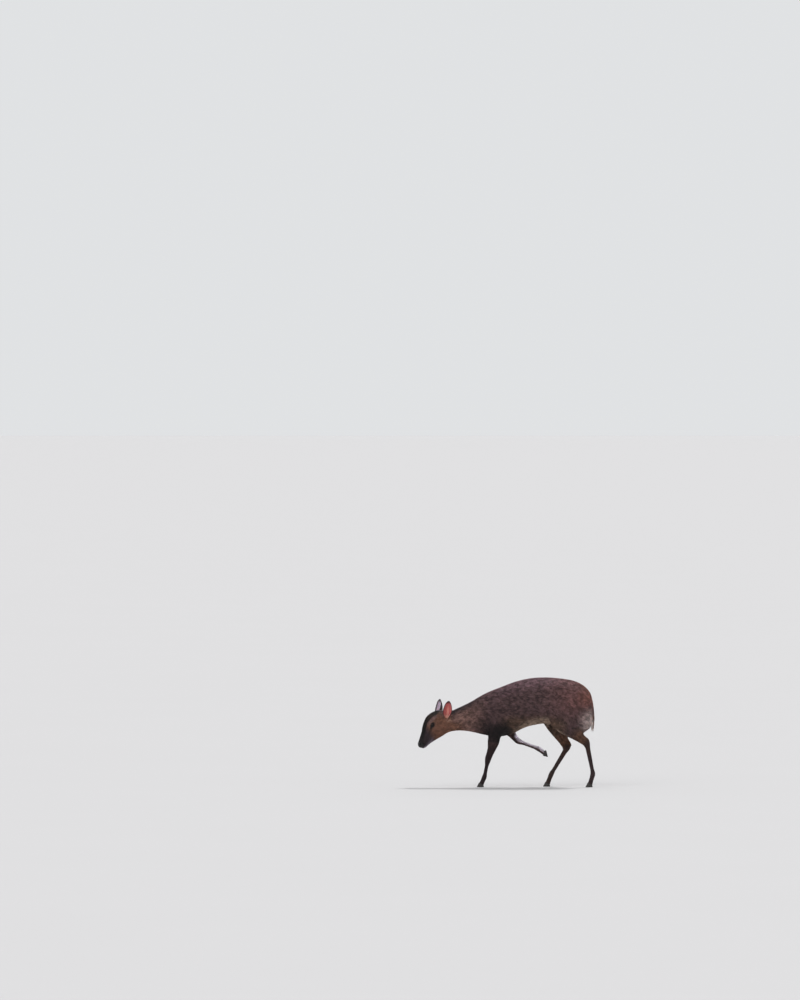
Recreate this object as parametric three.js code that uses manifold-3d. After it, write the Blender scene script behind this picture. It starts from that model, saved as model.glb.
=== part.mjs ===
// A life-size Reeves's muntjac doe, walking with her head lowered and her right foreleg lifted.
// Millimetres, +Z up. The doe faces -X and her left side is at -Y.
// Her flesh is one smooth field, meshed by surface nets part by part and parted with thin cuts.
import * as THREE from "three";
import { mergeVertices } from "three/addons/utils/BufferGeometryUtils.js";
import Module from "manifold-3d";

const wasm = await Module();
wasm.setup();

// Driving dimensions. Heights are above the ground, and X is 0 in the middle of her length.
const GAP = 0.3; // left between nodes that touch
const CUT_REACH = 900; // longer than the whole animal
const CELL = { torso: 15, thigh: 10 };

// Stations of neck and barrel: x, back line, belly line, half width, height of the widest line.
const TRUNK = [
  { x: -285, top: 328, bottom: 252, half: 33, mid: 290 },
  { x: -250, top: 341, bottom: 251, half: 36, mid: 297 },
  { x: -205, top: 361, bottom: 253, half: 37, mid: 305 },
  { x: -155, top: 386, bottom: 247, half: 41, mid: 313 },
  { x: -110, top: 413, bottom: 236, half: 51, mid: 318 },
  { x: -65, top: 434, bottom: 228, half: 60, mid: 322 },
  { x: -20, top: 451, bottom: 227, half: 67, mid: 330 },
  { x: 30, top: 470, bottom: 240, half: 74, mid: 340 },
  { x: 80, top: 484, bottom: 267, half: 79, mid: 356 },
  { x: 130, top: 491, bottom: 280, half: 81, mid: 368 },
  { x: 180, top: 493, bottom: 287, half: 79, mid: 378 },
  { x: 230, top: 489, bottom: 293, half: 74, mid: 386 },
  { x: 275, top: 477, bottom: 299, half: 66, mid: 388 },
  { x: 315, top: 457, bottom: 308, half: 55, mid: 386 },
  { x: 350, top: 425, bottom: 325, half: 38, mid: 380 },
];
const NECK_BEND = { from: -90, to: -290, side: -12 }; // the neck leans towards her left
const RUMP = { center: [288, 0, 376], radii: [101, 66, 100] };

// The head's own axes: u runs to the nose, n out of the forehead and l to her right.
const HEAD = {
  eyeMiddle: [-341.5, -26, 277.8],
  pitch: 52.5,
  yaw: 17,
  roll: -8,
};
const HEAD_STATIONS = [
  { x: -82, top: 6, bottom: -32, half: 17, mid: -14 },
  { x: -66, top: 20, bottom: -50, half: 26, mid: -11 },
  { x: -50, top: 28.5, bottom: -66, half: 32.5, mid: -9 },
  { x: -33, top: 32.5, bottom: -76, half: 35.5, mid: -9 },
  { x: -12, top: 33, bottom: -80, half: 36.5, mid: -7 },
  { x: 8, top: 28.5, bottom: -75, half: 34, mid: -7 },
  { x: 26, top: 22, bottom: -67, half: 29, mid: -10 },
  { x: 45, top: 15.5, bottom: -59, half: 23.5, mid: -15 },
  { x: 65, top: 8.5, bottom: -51, half: 19.5, mid: -17 },
  { x: 85, top: 1, bottom: -45, half: 17, mid: -19 },
  { x: 97, top: -3.5, bottom: -40, half: 15.5, mid: -20 },
];
const HEAD_LINE = [
  [19, -22],
  [45, -20],
  [70, -20],
  [95, -21],
];
const NAPE_TURN = [
  [-250, -8, 293],
  [-282, -12, 288.5],
  [-311, -17, 275.5],
];
const EYE = { u: 0, n: 8, l: 26.5, radius: 12, lidLong: 0.8, lidHigh: 0.56, lid: 1.7 };
const MOUTH = { corner: 52, chin: 91, at: -30, dip: 2.5, groove: 1.7 };
const NOSTRIL = { u: 102, n: -11, l: 8.5 };

// An ear: half its width and how far it curls round, at heights along it. 180 would close the tube.
const EAR = { u: -66, n: -34, l: 37, wall: 1.7, around: 10 };
const EAR_ROWS = [
  { x: -6, radius: 8, curl: 168, back: 0 },
  { x: 6, radius: 10, curl: 160, back: -1 },
  { x: 17, radius: 14.5, curl: 132, back: -3 },
  { x: 30, radius: 19, curl: 108, back: -5 },
  { x: 43, radius: 20.5, curl: 94, back: -6.5 },
  { x: 56, radius: 19, curl: 84, back: -6.5 },
  { x: 67, radius: 15, curl: 78, back: -5 },
  { x: 76, radius: 9.5, curl: 74, back: -3.5 },
  { x: 83, radius: 4, curl: 70, back: -2 },
];
const EAR_LIE = {
  left: { along: [0.06, -0.27, 0.96], facing: [-0.3, -0.95, 0] },
  right: { along: [-0.08, 0.28, 0.95], facing: [-0.8, -0.6, 0] },
};

// Each leg's joints as [x, y, z]. An elbow or hip is inside the trunk. The muscle of the leg
// that bears her weight stands ahead of its bones and is fuller.
const FORE = {
  left: {
    shoulder: [-66, -43, 318],
    elbow: [-34, -45, 258],
    knee: [-82, -33, 131],
    fetlock: [-99, -24, 45],
    hoof: [-115, -21, 0],
    swing: 0,
    ahead: 16,
    full: 1.15,
  },
  right: {
    shoulder: [-62, 43, 325],
    elbow: [-16, 47, 285],
    knee: [50, 43, 205],
    fetlock: [143, 37, 171],
    hoof: [183, 37, 151],
    swing: 104,
    ahead: 0,
    full: 1,
  },
};
const FORE_CUT = 222; // height at which the planted foreleg leaves the chest
const FOLD_CUT = 0.62; // how far down the lifted forearm its own node starts

const HIND = {
  left: {
    hip: [318, -48, 392],
    seat: [349, -42, 292],
    stifle: [236, -54, 294],
    hock: [362, -42, 193],
    fetlock: [389, -38, 60],
    hoof: [374, -37, 0],
    swing: 0,
  },
  right: {
    hip: [306, 48, 388],
    seat: [338, 42, 296],
    stifle: [200, 54, 304],
    hock: [272, 41, 171],
    fetlock: [203, 38, 57],
    hoof: [184, 36, 0],
    swing: 0,
  },
};
const THIGH_CUT = 270; // height at which both hind legs leave the trunk
const SHANK_RINGS = 0.74; // how far down the shank its rings start
const LEG_FLAT = 0.82; // a shank's width as a share of its depth
const NECK_CUT = { at: [-106, 0, 320], facing: [-1, 0, 0] };
const HEAD_CUT = { at: [-240, 0, 298], facing: [-1, 0, -0.12] };

// A foot in its own frame: forward, side and up from the middle of its sole.
const FOOT = { gap: 6.3, slope: 0.4, coronet: 17 };
const CLAW_OUTLINE = [
  [1, 0.1],
  [0.66, 0.72],
  [0.1, 1],
  [-0.55, 0.96],
  [-0.95, 0.45],
  [-0.95, -0.5],
  [-0.5, -0.86],
  [0.2, -0.88],
  [0.75, -0.5],
];
const CLAW_ROWS = [
  { up: 0, toe: 19, heel: 13, half: 5.4 },
  { up: 2, toe: 19, heel: 13.6, half: 5.8 },
  { up: 10, toe: 14.5, heel: 13.2, half: 5.6 },
  { up: 26, toe: 7, heel: 11.4, half: 5.2 },
];
const DEWCLAW = { back: 8.5, side: 5.2, down: 3, long: 11, root: 3.4, tip: 1.1 };
const TAIL = [
  { at: [348, 0, 424], deep: 9.5 },
  { at: [373, 0, 405], deep: 10.5 },
  { at: [387, 0, 373], deep: 10 },
  { at: [392, 0, 337], deep: 9.5 },
  { at: [391, 0, 300], deep: 8.5 },
  { at: [388, 0, 268], deep: 5 },
];
const TAIL_FLAT = 1.75; // its width as a share of its depth

// Locks of the tail: where each root is down the tail and across it, and how long it hangs.
const TAIL_LOCKS = [
  { down: 0.34, across: -0.75, long: 62 },
  { down: 0.34, across: 0.75, long: 62 },
  { down: 0.46, across: 0.1, long: 60 },
  { down: 0.5, across: -0.8, long: 62 },
  { down: 0.5, across: 0.8, long: 62 },
  { down: 0.6, across: -0.35, long: 58 },
  { down: 0.62, across: 0.4, long: 60 },
  { down: 0.68, across: -0.8, long: 56 },
  { down: 0.68, across: 0.8, long: 54 },
  { down: 0.78, across: -0.4, long: 52 },
  { down: 0.8, across: 0.35, long: 54 },
  { down: 0.86, across: -0.75, long: 46 },
  { down: 0.86, across: 0.7, long: 48 },
  { down: 0.94, across: 0, long: 46 },
];
const LOCK = { half: 6.2, thick: 2.3, sink: 3, lift: 1.6 };

// Field helpers. Every field is about the distance to a surface in mm, below 0 inside.
const vec = (a) => new THREE.Vector3(...a);
const mix = (a, b, t) => a + (b - a) * t;
const clamp = THREE.MathUtils.clamp;
const radians = THREE.MathUtils.degToRad;

function join(a, b, soft) {
  const h = Math.max(soft - Math.abs(a - b), 0) / soft;
  return Math.min(a, b) - (h * h * soft) / 4;
}

function carve(a, b, soft) {
  return -join(-a, b, soft);
}

function limb(p, a, b, ra, rb, flat = 1) {
  const bx = b[0] - a[0];
  const by = b[1] - a[1];
  const bz = b[2] - a[2];
  const along = (p.x - a[0]) * bx + (p.y - a[1]) * by + (p.z - a[2]) * bz;
  const t = clamp(along / (bx * bx + by * by + bz * bz), 0, 1);
  const dx = p.x - a[0] - bx * t;
  const dy = (p.y - a[1] - by * t) / flat;
  const dz = p.z - a[2] - bz * t;
  return Math.hypot(dx, dy, dz) - mix(ra, rb, t);
}

function egg(p, center, radii) {
  const x = (p.x - center[0]) / radii[0];
  const y = (p.y - center[1]) / radii[1];
  const z = (p.z - center[2]) / radii[2];
  const k = Math.hypot(x, y, z);
  const g = Math.hypot(x / radii[0], y / radii[1], z / radii[2]);
  return g > 0 ? (k * (k - 1)) / g : -Math.min(...radii);
}

// A row of stations as one smooth function of x, by cubic interpolation of each of its values.
function stationsOf(rows) {
  const keys = Object.keys(rows[0]).filter((key) => key !== "x");
  return (x) => {
    const s = clamp(x, rows[0].x, rows.at(-1).x);
    let i = rows.findIndex((row) => row.x >= s);
    i = clamp(i, 1, rows.length - 1);
    const [b, c] = [rows[i - 1], rows[i]];
    const [a, d] = [rows[Math.max(i - 2, 0)], rows[Math.min(i + 1, rows.length - 1)]];
    const width = c.x - b.x;
    const t = (s - b.x) / width;
    const found = {};
    for (const key of keys) {
      const m0 = ((c[key] - a[key]) / (c.x - a.x)) * width;
      const m1 = ((d[key] - b[key]) / (d.x - b.x)) * width;
      const t2 = t * t;
      const t3 = t2 * t;
      found[key] =
        (2 * t3 - 3 * t2 + 1) * b[key] +
        (t3 - 2 * t2 + t) * m0 +
        (3 * t2 - 2 * t3) * c[key] +
        (t3 - t2) * m1;
    }
    return found;
  };
}

// Distance from (across, up) to an egg-shaped section with its own upper and lower roundness.
function sectionField(across, up, at, upperPower, lowerPower) {
  const high = up > at.mid;
  const reach = high ? at.top - at.mid : at.mid - at.bottom;
  const power = high ? upperPower : lowerPower;
  const a = Math.abs(across) / at.half;
  const b = Math.abs(up - at.mid) / reach;
  const q = Math.pow(Math.pow(a, power) + Math.pow(b, power), 1 / power);
  const r = Math.hypot(across, up - at.mid);
  return q > 1e-6 ? r * (1 - 1 / q) : -Math.min(at.half, reach);
}

function capped(inSection, beyond) {
  return beyond > 0 ? Math.hypot(Math.max(inSection, 0), beyond) + Math.min(inSection, 0) * 0.2 : inSection;
}

const trunkAt = stationsOf(TRUNK);
const headAt = stationsOf(HEAD_STATIONS);

// The head's frame.
const headAxes = (() => {
  const pitch = radians(HEAD.pitch);
  const turn = new THREE.Matrix4().makeRotationZ(radians(HEAD.yaw));
  const u = new THREE.Vector3(-Math.cos(pitch), 0, -Math.sin(pitch)).applyMatrix4(turn);
  const n = new THREE.Vector3(-Math.sin(pitch), 0, Math.cos(pitch)).applyMatrix4(turn);
  const l = new THREE.Vector3(0, 1, 0).applyMatrix4(turn);
  const roll = new THREE.Matrix4().makeRotationAxis(u, radians(HEAD.roll));
  n.applyMatrix4(roll);
  l.applyMatrix4(roll);
  return { u, n, l, origin: vec(HEAD.eyeMiddle) };
})();

const headPoint = (u, n, l) =>
  headAxes.origin
    .clone()
    .addScaledVector(headAxes.u, u)
    .addScaledVector(headAxes.n, n)
    .addScaledVector(headAxes.l, l);

const headDirection = (u, n, l) => headPoint(u, n, l).sub(headAxes.origin).normalize();

// Where each ear grows, with the axis it grows along and the way it opens.
function earFrame(side, lie) {
  const root = headPoint(EAR.u, EAR.n, side * EAR.l);
  const along = vec(lie.along).normalize();
  const facing = vec(lie.facing).addScaledVector(along, -vec(lie.facing).dot(along)).normalize();
  const across = new THREE.Vector3().crossVectors(facing, along);
  const frame = new THREE.Matrix4().makeBasis(across, facing, along).setPosition(root);
  const low = root.clone().addScaledVector(along, -14).toArray();
  const high = root.clone().addScaledVector(along, -3).toArray();
  return { frame, low, high };
}

const earRoots = { left: earFrame(-1, EAR_LIE.left), right: earFrame(1, EAR_LIE.right) };

// Flesh of each part.
function trunkField(p) {
  const lean = clamp((p.x - NECK_BEND.from) / (NECK_BEND.to - NECK_BEND.from), 0, 1.1);
  const section = sectionField(p.y - NECK_BEND.side * lean * lean, p.z, trunkAt(p.x), 2.15, 1.95);
  const beyond = Math.max(TRUNK[0].x - p.x, p.x - TRUNK.at(-1).x);
  return join(capped(section, beyond), egg(p, RUMP.center, RUMP.radii), 30);
}

const local = new THREE.Vector3();

function headField(p) {
  const d = local.copy(p).sub(headAxes.origin);
  const h = { x: d.dot(headAxes.u), y: d.dot(headAxes.l), z: d.dot(headAxes.n) };
  const beyond = Math.max(HEAD_STATIONS[0].x - h.x, h.x - HEAD_STATIONS.at(-1).x);
  let f = capped(sectionField(h.y, h.z, headAt(h.x), 2.5, 1.75), beyond);
  f = join(f, egg(h, [96, 0, -18], [15, 14.5, 14.5]), 7);
  f = join(f, egg(h, [87, 0, -35], [17, 10.5, 8]), 6);
  const m = { x: h.x, y: Math.abs(h.y), z: h.z };
  f = join(f, egg(m, [-3, 25, 14], [19, 9, 8]), 12);
  f = join(f, egg(m, [-8, 28, -13], [24, 8, 7]), 10);
  f = join(f, egg(m, [-20, 18, -48], [27, 10, 20]), 12);
  f = join(f, limb(m, [-26, 13, 29], [30, 6, 19], 6, 4.5), 12);
  f = carve(f, egg(m, [26, 29, -5], [9, 5, 4]), 5);
  for (const ear of Object.values(earRoots)) f = join(f, limb(p, ear.low, ear.high, 14, 9), 11);
  return f;
}

const shift = (a, dx, dy, dz) => [a[0] + dx, a[1] + dy, a[2] + dz];
const between = (a, b, t) => a.map((value, i) => mix(value, b[i], t));

// The pastern ends inside the hoof, at the middle of the coronet.
function footFrame(leg) {
  const turn = new THREE.Matrix4().makeRotationY(-radians(leg.swing));
  turn.setPosition(vec(leg.hoof));
  return turn;
}

const footPoint = (leg, forward, side, up) =>
  new THREE.Vector3(-forward, side, up).applyMatrix4(footFrame(leg)).toArray();

function upperForelegField(p, leg, reach = 0.85) {
  const { shoulder, elbow, knee, ahead, full } = leg;
  const side = Math.sign(elbow[1]);
  const blade = [shoulder[0] + 46, side * 33, shoulder[2] + 74];
  const top = shift(elbow, -ahead, 0, 0);
  const middle = shift(between(elbow, knee, 0.45), -0.4 * ahead, 0, 0);
  const low = between(elbow, knee, reach);
  const slim = mix(20, 12, (reach - 0.4) / 0.6);
  let f = limb(p, blade, shoulder, 29, 34, 0.95);
  f = join(f, limb(p, shoulder, elbow, 34, 28, 0.85), 18);
  f = join(f, limb(p, top, middle, 27 * full, 20.5 * full, 0.8 / full), 12);
  return join(f, limb(p, between(elbow, knee, 0.4), low, 20 * full, slim * full, LEG_FLAT / full), 8);
}

function forelegField(p, leg) {
  const { knee, fetlock, full } = leg;
  const coronet = footPoint(leg, 0, 0, 8);
  let f = upperForelegField(p, leg, 1);
  f = join(f, limb(p, knee, between(knee, fetlock, 0.14 * full), 12.6 * full, 11.6 * full, 0.92 / full), 5);
  f = join(f, limb(p, knee, fetlock, 9, 8.6, LEG_FLAT), 6);
  f = join(f, limb(p, fetlock, between(fetlock, coronet, 0.1), 10.8, 10.5, 0.98), 5);
  return join(f, limb(p, fetlock, coronet, 9.2, 10.6, 1.1), 6);
}

function upperHindlegField(p, leg) {
  const { hip, seat, stifle, hock } = leg;
  const calf = between(stifle, hock, 0.42);
  let f = limb(p, hip, stifle, 56, 35, 0.62);
  f = join(f, limb(p, shift(seat, -5, -0.16 * seat[1], 70), seat, 44, 30, 0.8), 20);
  f = join(f, limb(p, between(hip, stifle, 0.7), seat, 40, 29, 0.66), 18);
  f = join(f, limb(p, between(stifle, hock, 0.25), seat, 28, 29, 0.68), 18);
  f = join(f, limb(p, seat, between(stifle, hock, 0.6), 29, 16, 0.72), 18);
  return join(f, limb(p, stifle, calf, 34, 26, 0.68), 20);
}

function hindlegField(p, leg) {
  const { stifle, hock, fetlock } = leg;
  const coronet = footPoint(leg, 0, 0, 8);
  const shank = new THREE.Vector3().subVectors(vec(hock), vec(stifle)).normalize();
  const cannon = new THREE.Vector3().subVectors(vec(fetlock), vec(hock)).normalize();
  const heel = vec(hock).addScaledVector(cannon, -26).addScaledVector(shank, 15).toArray();
  const calf = between(stifle, hock, 0.42);
  const tendonTop = between(stifle, hock, 0.5);
  let f = upperHindlegField(p, leg);
  f = join(f, limb(p, calf, hock, 25, 13, 0.72), 10);
  f = join(f, limb(p, shift(tendonTop, 12, 0, 8), heel, 12, 7, 0.7), 8);
  f = join(f, limb(p, heel, hock, 8, 11.5, LEG_FLAT), 5);
  f = join(f, limb(p, hock, fetlock, 11.5, 8.6, LEG_FLAT), 5);
  f = join(f, limb(p, fetlock, between(fetlock, coronet, 0.1), 10.8, 10.5, 0.98), 5);
  return join(f, limb(p, fetlock, coronet, 9.2, 10.6, 1.1), 6);
}

function tailField(p) {
  let f = Infinity;
  for (let i = 1; i < TAIL.length; i++) {
    const [a, b] = [TAIL[i - 1], TAIL[i]];
    const piece = limb(p, a.at, b.at, a.deep, b.deep, TAIL_FLAT);
    f = f === Infinity ? piece : join(f, piece, 1.5);
  }
  return f;
}

function bodyField(p) {
  let f = join(trunkField(p), headField(p), 30);
  for (const leg of Object.values(FORE)) f = join(f, upperForelegField(p, leg), 18);
  for (const leg of Object.values(HIND)) f = join(f, upperHindlegField(p, leg), 22);
  return f;
}

// A cube's 8 corners as bits, its 12 edges and its 6 faces with their corners in order.
const CORNERS = [0, 1, 2, 3, 4, 5, 6, 7].map((c) => [c & 1, (c >> 1) & 1, (c >> 2) & 1]);
const EDGES = [];
for (let a = 0; a < 8; a++) for (const bit of [1, 2, 4]) if (!(a & bit)) EDGES.push([a, a | bit]);
const edgeBetween = (a, b) => EDGES.findIndex(([x, y]) => x === Math.min(a, b) && y === Math.max(a, b));
const FACES = [1, 2, 4].flatMap((bit) => {
  const [s, t] = [1, 2, 4].filter((other) => other !== bit);
  return [0, bit].map((base) => [base, base | s, base | s | t, base | t]);
});
const FACE_EDGES = FACES.map((ring) => ring.map((a, k) => edgeBetween(a, ring[(k + 1) % 4])));

// Crossed edges of one cell, grouped by the sheet of surface that they belong to.
function sheetsOf(v) {
  const group = EDGES.map(([a, b], i) => (v[a] < 0 === v[b] < 0 ? -1 : i));
  const merge = (a, b) => {
    const [keep, drop] = [group[a], group[b]];
    for (let i = 0; i < 12; i++) if (group[i] === drop) group[i] = keep;
  };
  FACES.forEach((ring, f) => {
    const crossed = FACE_EDGES[f].filter((edge) => group[edge] >= 0);
    if (crossed.length === 2) merge(crossed[0], crossed[1]);
    if (crossed.length === 4)
      ring.forEach((corner, k) => v[corner] < 0 && merge(FACE_EDGES[f][k], FACE_EDGES[f][(k + 3) % 4]));
  });
  return group;
}

// Surface nets: one vertex for each sheet in each cell, drawn onto the surface.
function netOf(field, low, high, cell) {
  const count = low.map((value, i) => Math.ceil((high[i] - value) / cell) + 1);
  const [nx, ny, nz] = count;
  const index = (i, j, k) => (k * ny + j) * nx + i;
  const values = new Float64Array(nx * ny * nz);
  const p = new THREE.Vector3();
  for (let k = 0; k < nz; k++)
    for (let j = 0; j < ny; j++)
      for (let i = 0; i < nx; i++) {
        const rim = !i || !j || !k || i === nx - 1 || j === ny - 1 || k === nz - 1;
        p.set(low[0] + i * cell, low[1] + j * cell, low[2] + k * cell);
        values[index(i, j, k)] = rim ? cell : field(p);
      }
  const vertexAt = new Map();
  const positions = [];
  for (let k = 0; k < nz - 1; k++)
    for (let j = 0; j < ny - 1; j++)
      for (let i = 0; i < nx - 1; i++) {
        const v = CORNERS.map(([a, b, c]) => values[index(i + a, j + b, k + c)]);
        if (v.every((value) => value < 0) || v.every((value) => value >= 0)) continue;
        const group = sheetsOf(v);
        for (const sheet of new Set(group)) {
          if (sheet < 0) continue;
          const sum = new THREE.Vector3();
          let crossings = 0;
          EDGES.forEach(([a, b], edge) => {
            if (group[edge] !== sheet) return;
            const t = v[a] / (v[a] - v[b]);
            for (let axis = 0; axis < 3; axis++)
              sum.setComponent(axis, sum.getComponent(axis) + mix(CORNERS[a][axis], CORNERS[b][axis], t));
            crossings++;
            vertexAt.set(index(i, j, k) * 12 + edge, positions.length / 3);
          });
          sum.multiplyScalar(cell / crossings);
          sum.add(p.set(low[0] + i * cell, low[1] + j * cell, low[2] + k * cell));
          const inner = i > 1 && j > 1 && k > 1 && i < nx - 3 && j < ny - 3 && k < nz - 3;
          if (inner) drawToSurface(sum, field, cell * 0.45);
          positions.push(sum.x, sum.y, sum.z);
        }
      }
  const faces = [];
  const steps = [index(1, 0, 0), index(0, 1, 0), index(0, 0, 1)];
  for (let k = 0; k < nz - 1; k++)
    for (let j = 0; j < ny - 1; j++)
      for (let i = 0; i < nx - 1; i++)
        for (let axis = 0; axis < 3; axis++) {
          if ([i, j, k].some((value, other) => other !== axis && !value)) continue;
          const here = index(i, j, k);
          const inside = values[here] < 0;
          if (inside === values[here + steps[axis]] < 0) continue;
          const [sAxis, tAxis] = [(axis + 1) % 3, (axis + 2) % 3];
          const [s, t] = [steps[sAxis], steps[tAxis]];
          const [sBit, tBit, bit] = [1 << sAxis, 1 << tAxis, 1 << axis];
          const ring = [
            [here - s - t, sBit | tBit],
            [here - t, tBit],
            [here, 0],
            [here - s, sBit],
          ].map(([at, corner]) => vertexAt.get(at * 12 + edgeBetween(corner, corner | bit)));
          if (!inside) ring.reverse();
          faces.push(...splitQuad(positions, ring));
        }
  const net = new THREE.BufferGeometry();
  net.setAttribute("position", new THREE.Float32BufferAttribute(positions, 3));
  return net.setIndex(faces);
}

function drawToSurface(point, field, most) {
  const start = point.clone();
  const step = 0.2;
  const q = new THREE.Vector3();
  for (let round = 0; round < 3; round++) {
    const f = field(point);
    const slope = new THREE.Vector3(
      field(q.copy(point).setX(point.x + step)) - f,
      field(q.copy(point).setY(point.y + step)) - f,
      field(q.copy(point).setZ(point.z + step)) - f,
    ).divideScalar(step);
    point.addScaledVector(slope, -f / Math.max(slope.lengthSq(), 0.2));
    const moved = q.subVectors(point, start);
    if (moved.length() > most) point.copy(start).addScaledVector(moved.normalize(), most);
  }
}

// The shorter diagonal of a quad parts it into two triangles.
function splitQuad(positions, [a, b, c, d]) {
  const at = (i) => new THREE.Vector3().fromArray(positions, i * 3);
  return at(a).distanceTo(at(c)) <= at(b).distanceTo(at(d)) ? [a, b, c, a, c, d] : [a, b, d, b, c, d];
}

// Between three.js geometry and solids that can be joined and cut.
function bareOf(geometry) {
  const bare = geometry.clone();
  for (const name of Object.keys(bare.attributes)) if (name !== "position") bare.deleteAttribute(name);
  return bare;
}

function solidOf(geometry) {
  const merged = mergeVertices(bareOf(geometry), 1e-4);
  const solid = new wasm.Manifold(
    new wasm.Mesh({
      numProp: 3,
      vertProperties: merged.attributes.position.array,
      triVerts: new Uint32Array(merged.index.array),
    }),
  );
  if (solid.volume() < 0) throw new Error("a solid is inside out");
  return solid;
}

function geometryOf(solid) {
  const mesh = solid.getMesh();
  const geometry = new THREE.BufferGeometry();
  geometry.setAttribute("position", new THREE.BufferAttribute(mesh.vertProperties, 3));
  geometry.setIndex(new THREE.BufferAttribute(mesh.triVerts, 1));
  return geometry;
}

function largestOf(solid) {
  return solid.decompose().reduce((best, piece) => (piece.volume() > best.volume() ? piece : best));
}

// Everything on the far side of a plane through a point, as a very large box.
function beyond(point, direction, offset = 0) {
  const box = new THREE.BoxGeometry(CUT_REACH, CUT_REACH, CUT_REACH).translate(0, 0, CUT_REACH / 2 + offset);
  const turn = new THREE.Quaternion().setFromUnitVectors(new THREE.Vector3(0, 0, 1), direction.clone().normalize());
  return solidOf(box.applyQuaternion(turn).translate(...point.toArray()));
}

function boxSolid(low, high) {
  const size = high.map((value, i) => value - low[i]);
  const middle = high.map((value, i) => (value + low[i]) / 2);
  return solidOf(new THREE.BoxGeometry(...size).translate(...middle));
}

function ballSolid(center, radius, across = 16, down = 10) {
  return solidOf(new THREE.SphereGeometry(radius, across, down).translate(...center.toArray()));
}

// Rings of points joined into one closed surface, each end closed with a fan.
function skinOfRings(rings, apex) {
  const around = rings[0].length;
  const points = rings.flat();
  const faces = [];
  for (let i = 1; i < rings.length; i++)
    for (let k = 0; k < around; k++) {
      const [a, b] = [(i - 1) * around + k, (i - 1) * around + ((k + 1) % around)];
      faces.push(a, b, b + around, a, b + around, a + around);
    }
  for (const [first, flip] of [
    [0, true],
    [(rings.length - 1) * around, false],
  ]) {
    const middle = points.length;
    const center = new THREE.Vector3();
    for (let k = 0; k < around; k++) center.addScaledVector(points[first + k], 1 / around);
    points.push(first && apex ? apex : center);
    for (let k = 0; k < around; k++) {
      const [a, b] = [first + k, first + ((k + 1) % around)];
      faces.push(...(flip ? [b, a, middle] : [a, b, middle]));
    }
  }
  const skin = new THREE.BufferGeometry().setFromPoints(points);
  return skin.setIndex(faces);
}

function rightWayOut(geometry) {
  const at = geometry.attributes.position;
  const index = geometry.index.array;
  const [a, b, c] = [new THREE.Vector3(), new THREE.Vector3(), new THREE.Vector3()];
  let volume = 0;
  for (let i = 0; i < index.length; i += 3) {
    a.fromBufferAttribute(at, index[i]);
    b.fromBufferAttribute(at, index[i + 1]);
    c.fromBufferAttribute(at, index[i + 2]);
    volume += a.dot(b.cross(c));
  }
  if (volume < 0)
    for (let i = 0; i < index.length; i += 3) [index[i + 1], index[i + 2]] = [index[i + 2], index[i + 1]];
  return geometry;
}

const ringSolid = (rings, apex) => solidOf(rightWayOut(skinOfRings(rings, apex)));

// How far a ray from inside a field runs to its surface.
function rayTo(field, from, direction, most) {
  const q = new THREE.Vector3();
  let near = 0;
  let far = 0;
  while (far < most) {
    far = Math.min(far + 1.2, most);
    if (field(q.copy(from).addScaledVector(direction, far)) > 0) break;
    near = far;
  }
  for (let round = 0; round < 9; round++) {
    const half = (near + far) / 2;
    if (field(q.copy(from).addScaledVector(direction, half)) > 0) far = half;
    else near = half;
  }
  return (near + far) / 2;
}

// Rings where rays from a curved line meet a field, spread by each section's own proportions.
// Tilts add rings that lean on over the far end, up to its tip.
function ringsAlong(field, joints, count, around, most, tilts = []) {
  const curve = new THREE.CatmullRomCurve3(joints.map(vec), false, "centripetal");
  const rings = [];
  for (let i = 0; i < count; i++) {
    const along = curve.getTangentAt(i / (count - 1));
    const center = curve.getPointAt(i / (count - 1));
    const side = new THREE.Vector3(0, 1, 0).addScaledVector(along, -along.y).normalize();
    const front = new THREE.Vector3().crossVectors(side, along);
    const reach = [front, side].map((axis) => {
      const ahead = rayTo(field, center, axis, most);
      const behind = rayTo(field, center, axis.clone().negate(), most);
      center.addScaledVector(axis, (ahead - behind) / 2);
      return (ahead + behind) / 2;
    });
    for (const tilt of i === count - 1 ? [0, ...tilts] : [0]) {
      const ring = [];
      for (let k = 0; k < around; k++) {
        const angle = (2 * Math.PI * (k + 0.5)) / around;
        const way = front.clone().multiplyScalar(Math.cos(angle) * reach[0]);
        way.addScaledVector(side, Math.sin(angle) * reach[1]).normalize();
        way.multiplyScalar(Math.cos(radians(tilt))).addScaledVector(along, Math.sin(radians(tilt)));
        ring.push(center.clone().addScaledVector(way, rayTo(field, center, way, most)));
      }
      rings.push(ring);
    }
    if (tilts.length && i === count - 1)
      rings.apex = center.clone().addScaledVector(along, rayTo(field, center, along, most));
  }
  return rings;
}

// A round bar swept along points, for grooves and lid rims. It may close on itself.
function barAlong(points, radius, sides, closed = false) {
  const curve = new THREE.CatmullRomCurve3(points, closed, "centripetal");
  const steps = closed ? points.length : points.length - 1;
  const tube = new THREE.TubeGeometry(curve, steps, radius, sides, closed);
  if (closed) return solidOf(rightWayOut(mergeVertices(bareOf(tube), 1e-3)));
  const at = tube.attributes.position;
  const rings = [];
  for (let i = 0; i <= steps; i++) {
    const ring = [];
    for (let k = 0; k < sides; k++) ring.push(new THREE.Vector3().fromBufferAttribute(at, i * (sides + 1) + k));
    rings.push(ring);
  }
  return ringSolid(rings);
}

// The same solid with its surface moved out along its own normals.
function grown(solid, amount) {
  const geometry = geometryOf(solid);
  geometry.computeVertexNormals();
  const { position, normal } = geometry.attributes;
  const p = new THREE.Vector3();
  const n = new THREE.Vector3();
  for (let i = 0; i < position.count; i++) {
    p.fromBufferAttribute(position, i).addScaledVector(n.fromBufferAttribute(normal, i), amount);
    position.setXYZ(i, p.x, p.y, p.z);
  }
  return solidOf(geometry);
}

function netSolid(field, low, high, cell) {
  return largestOf(solidOf(netOf(field, low, high, cell)));
}

const nodes = {};

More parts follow.
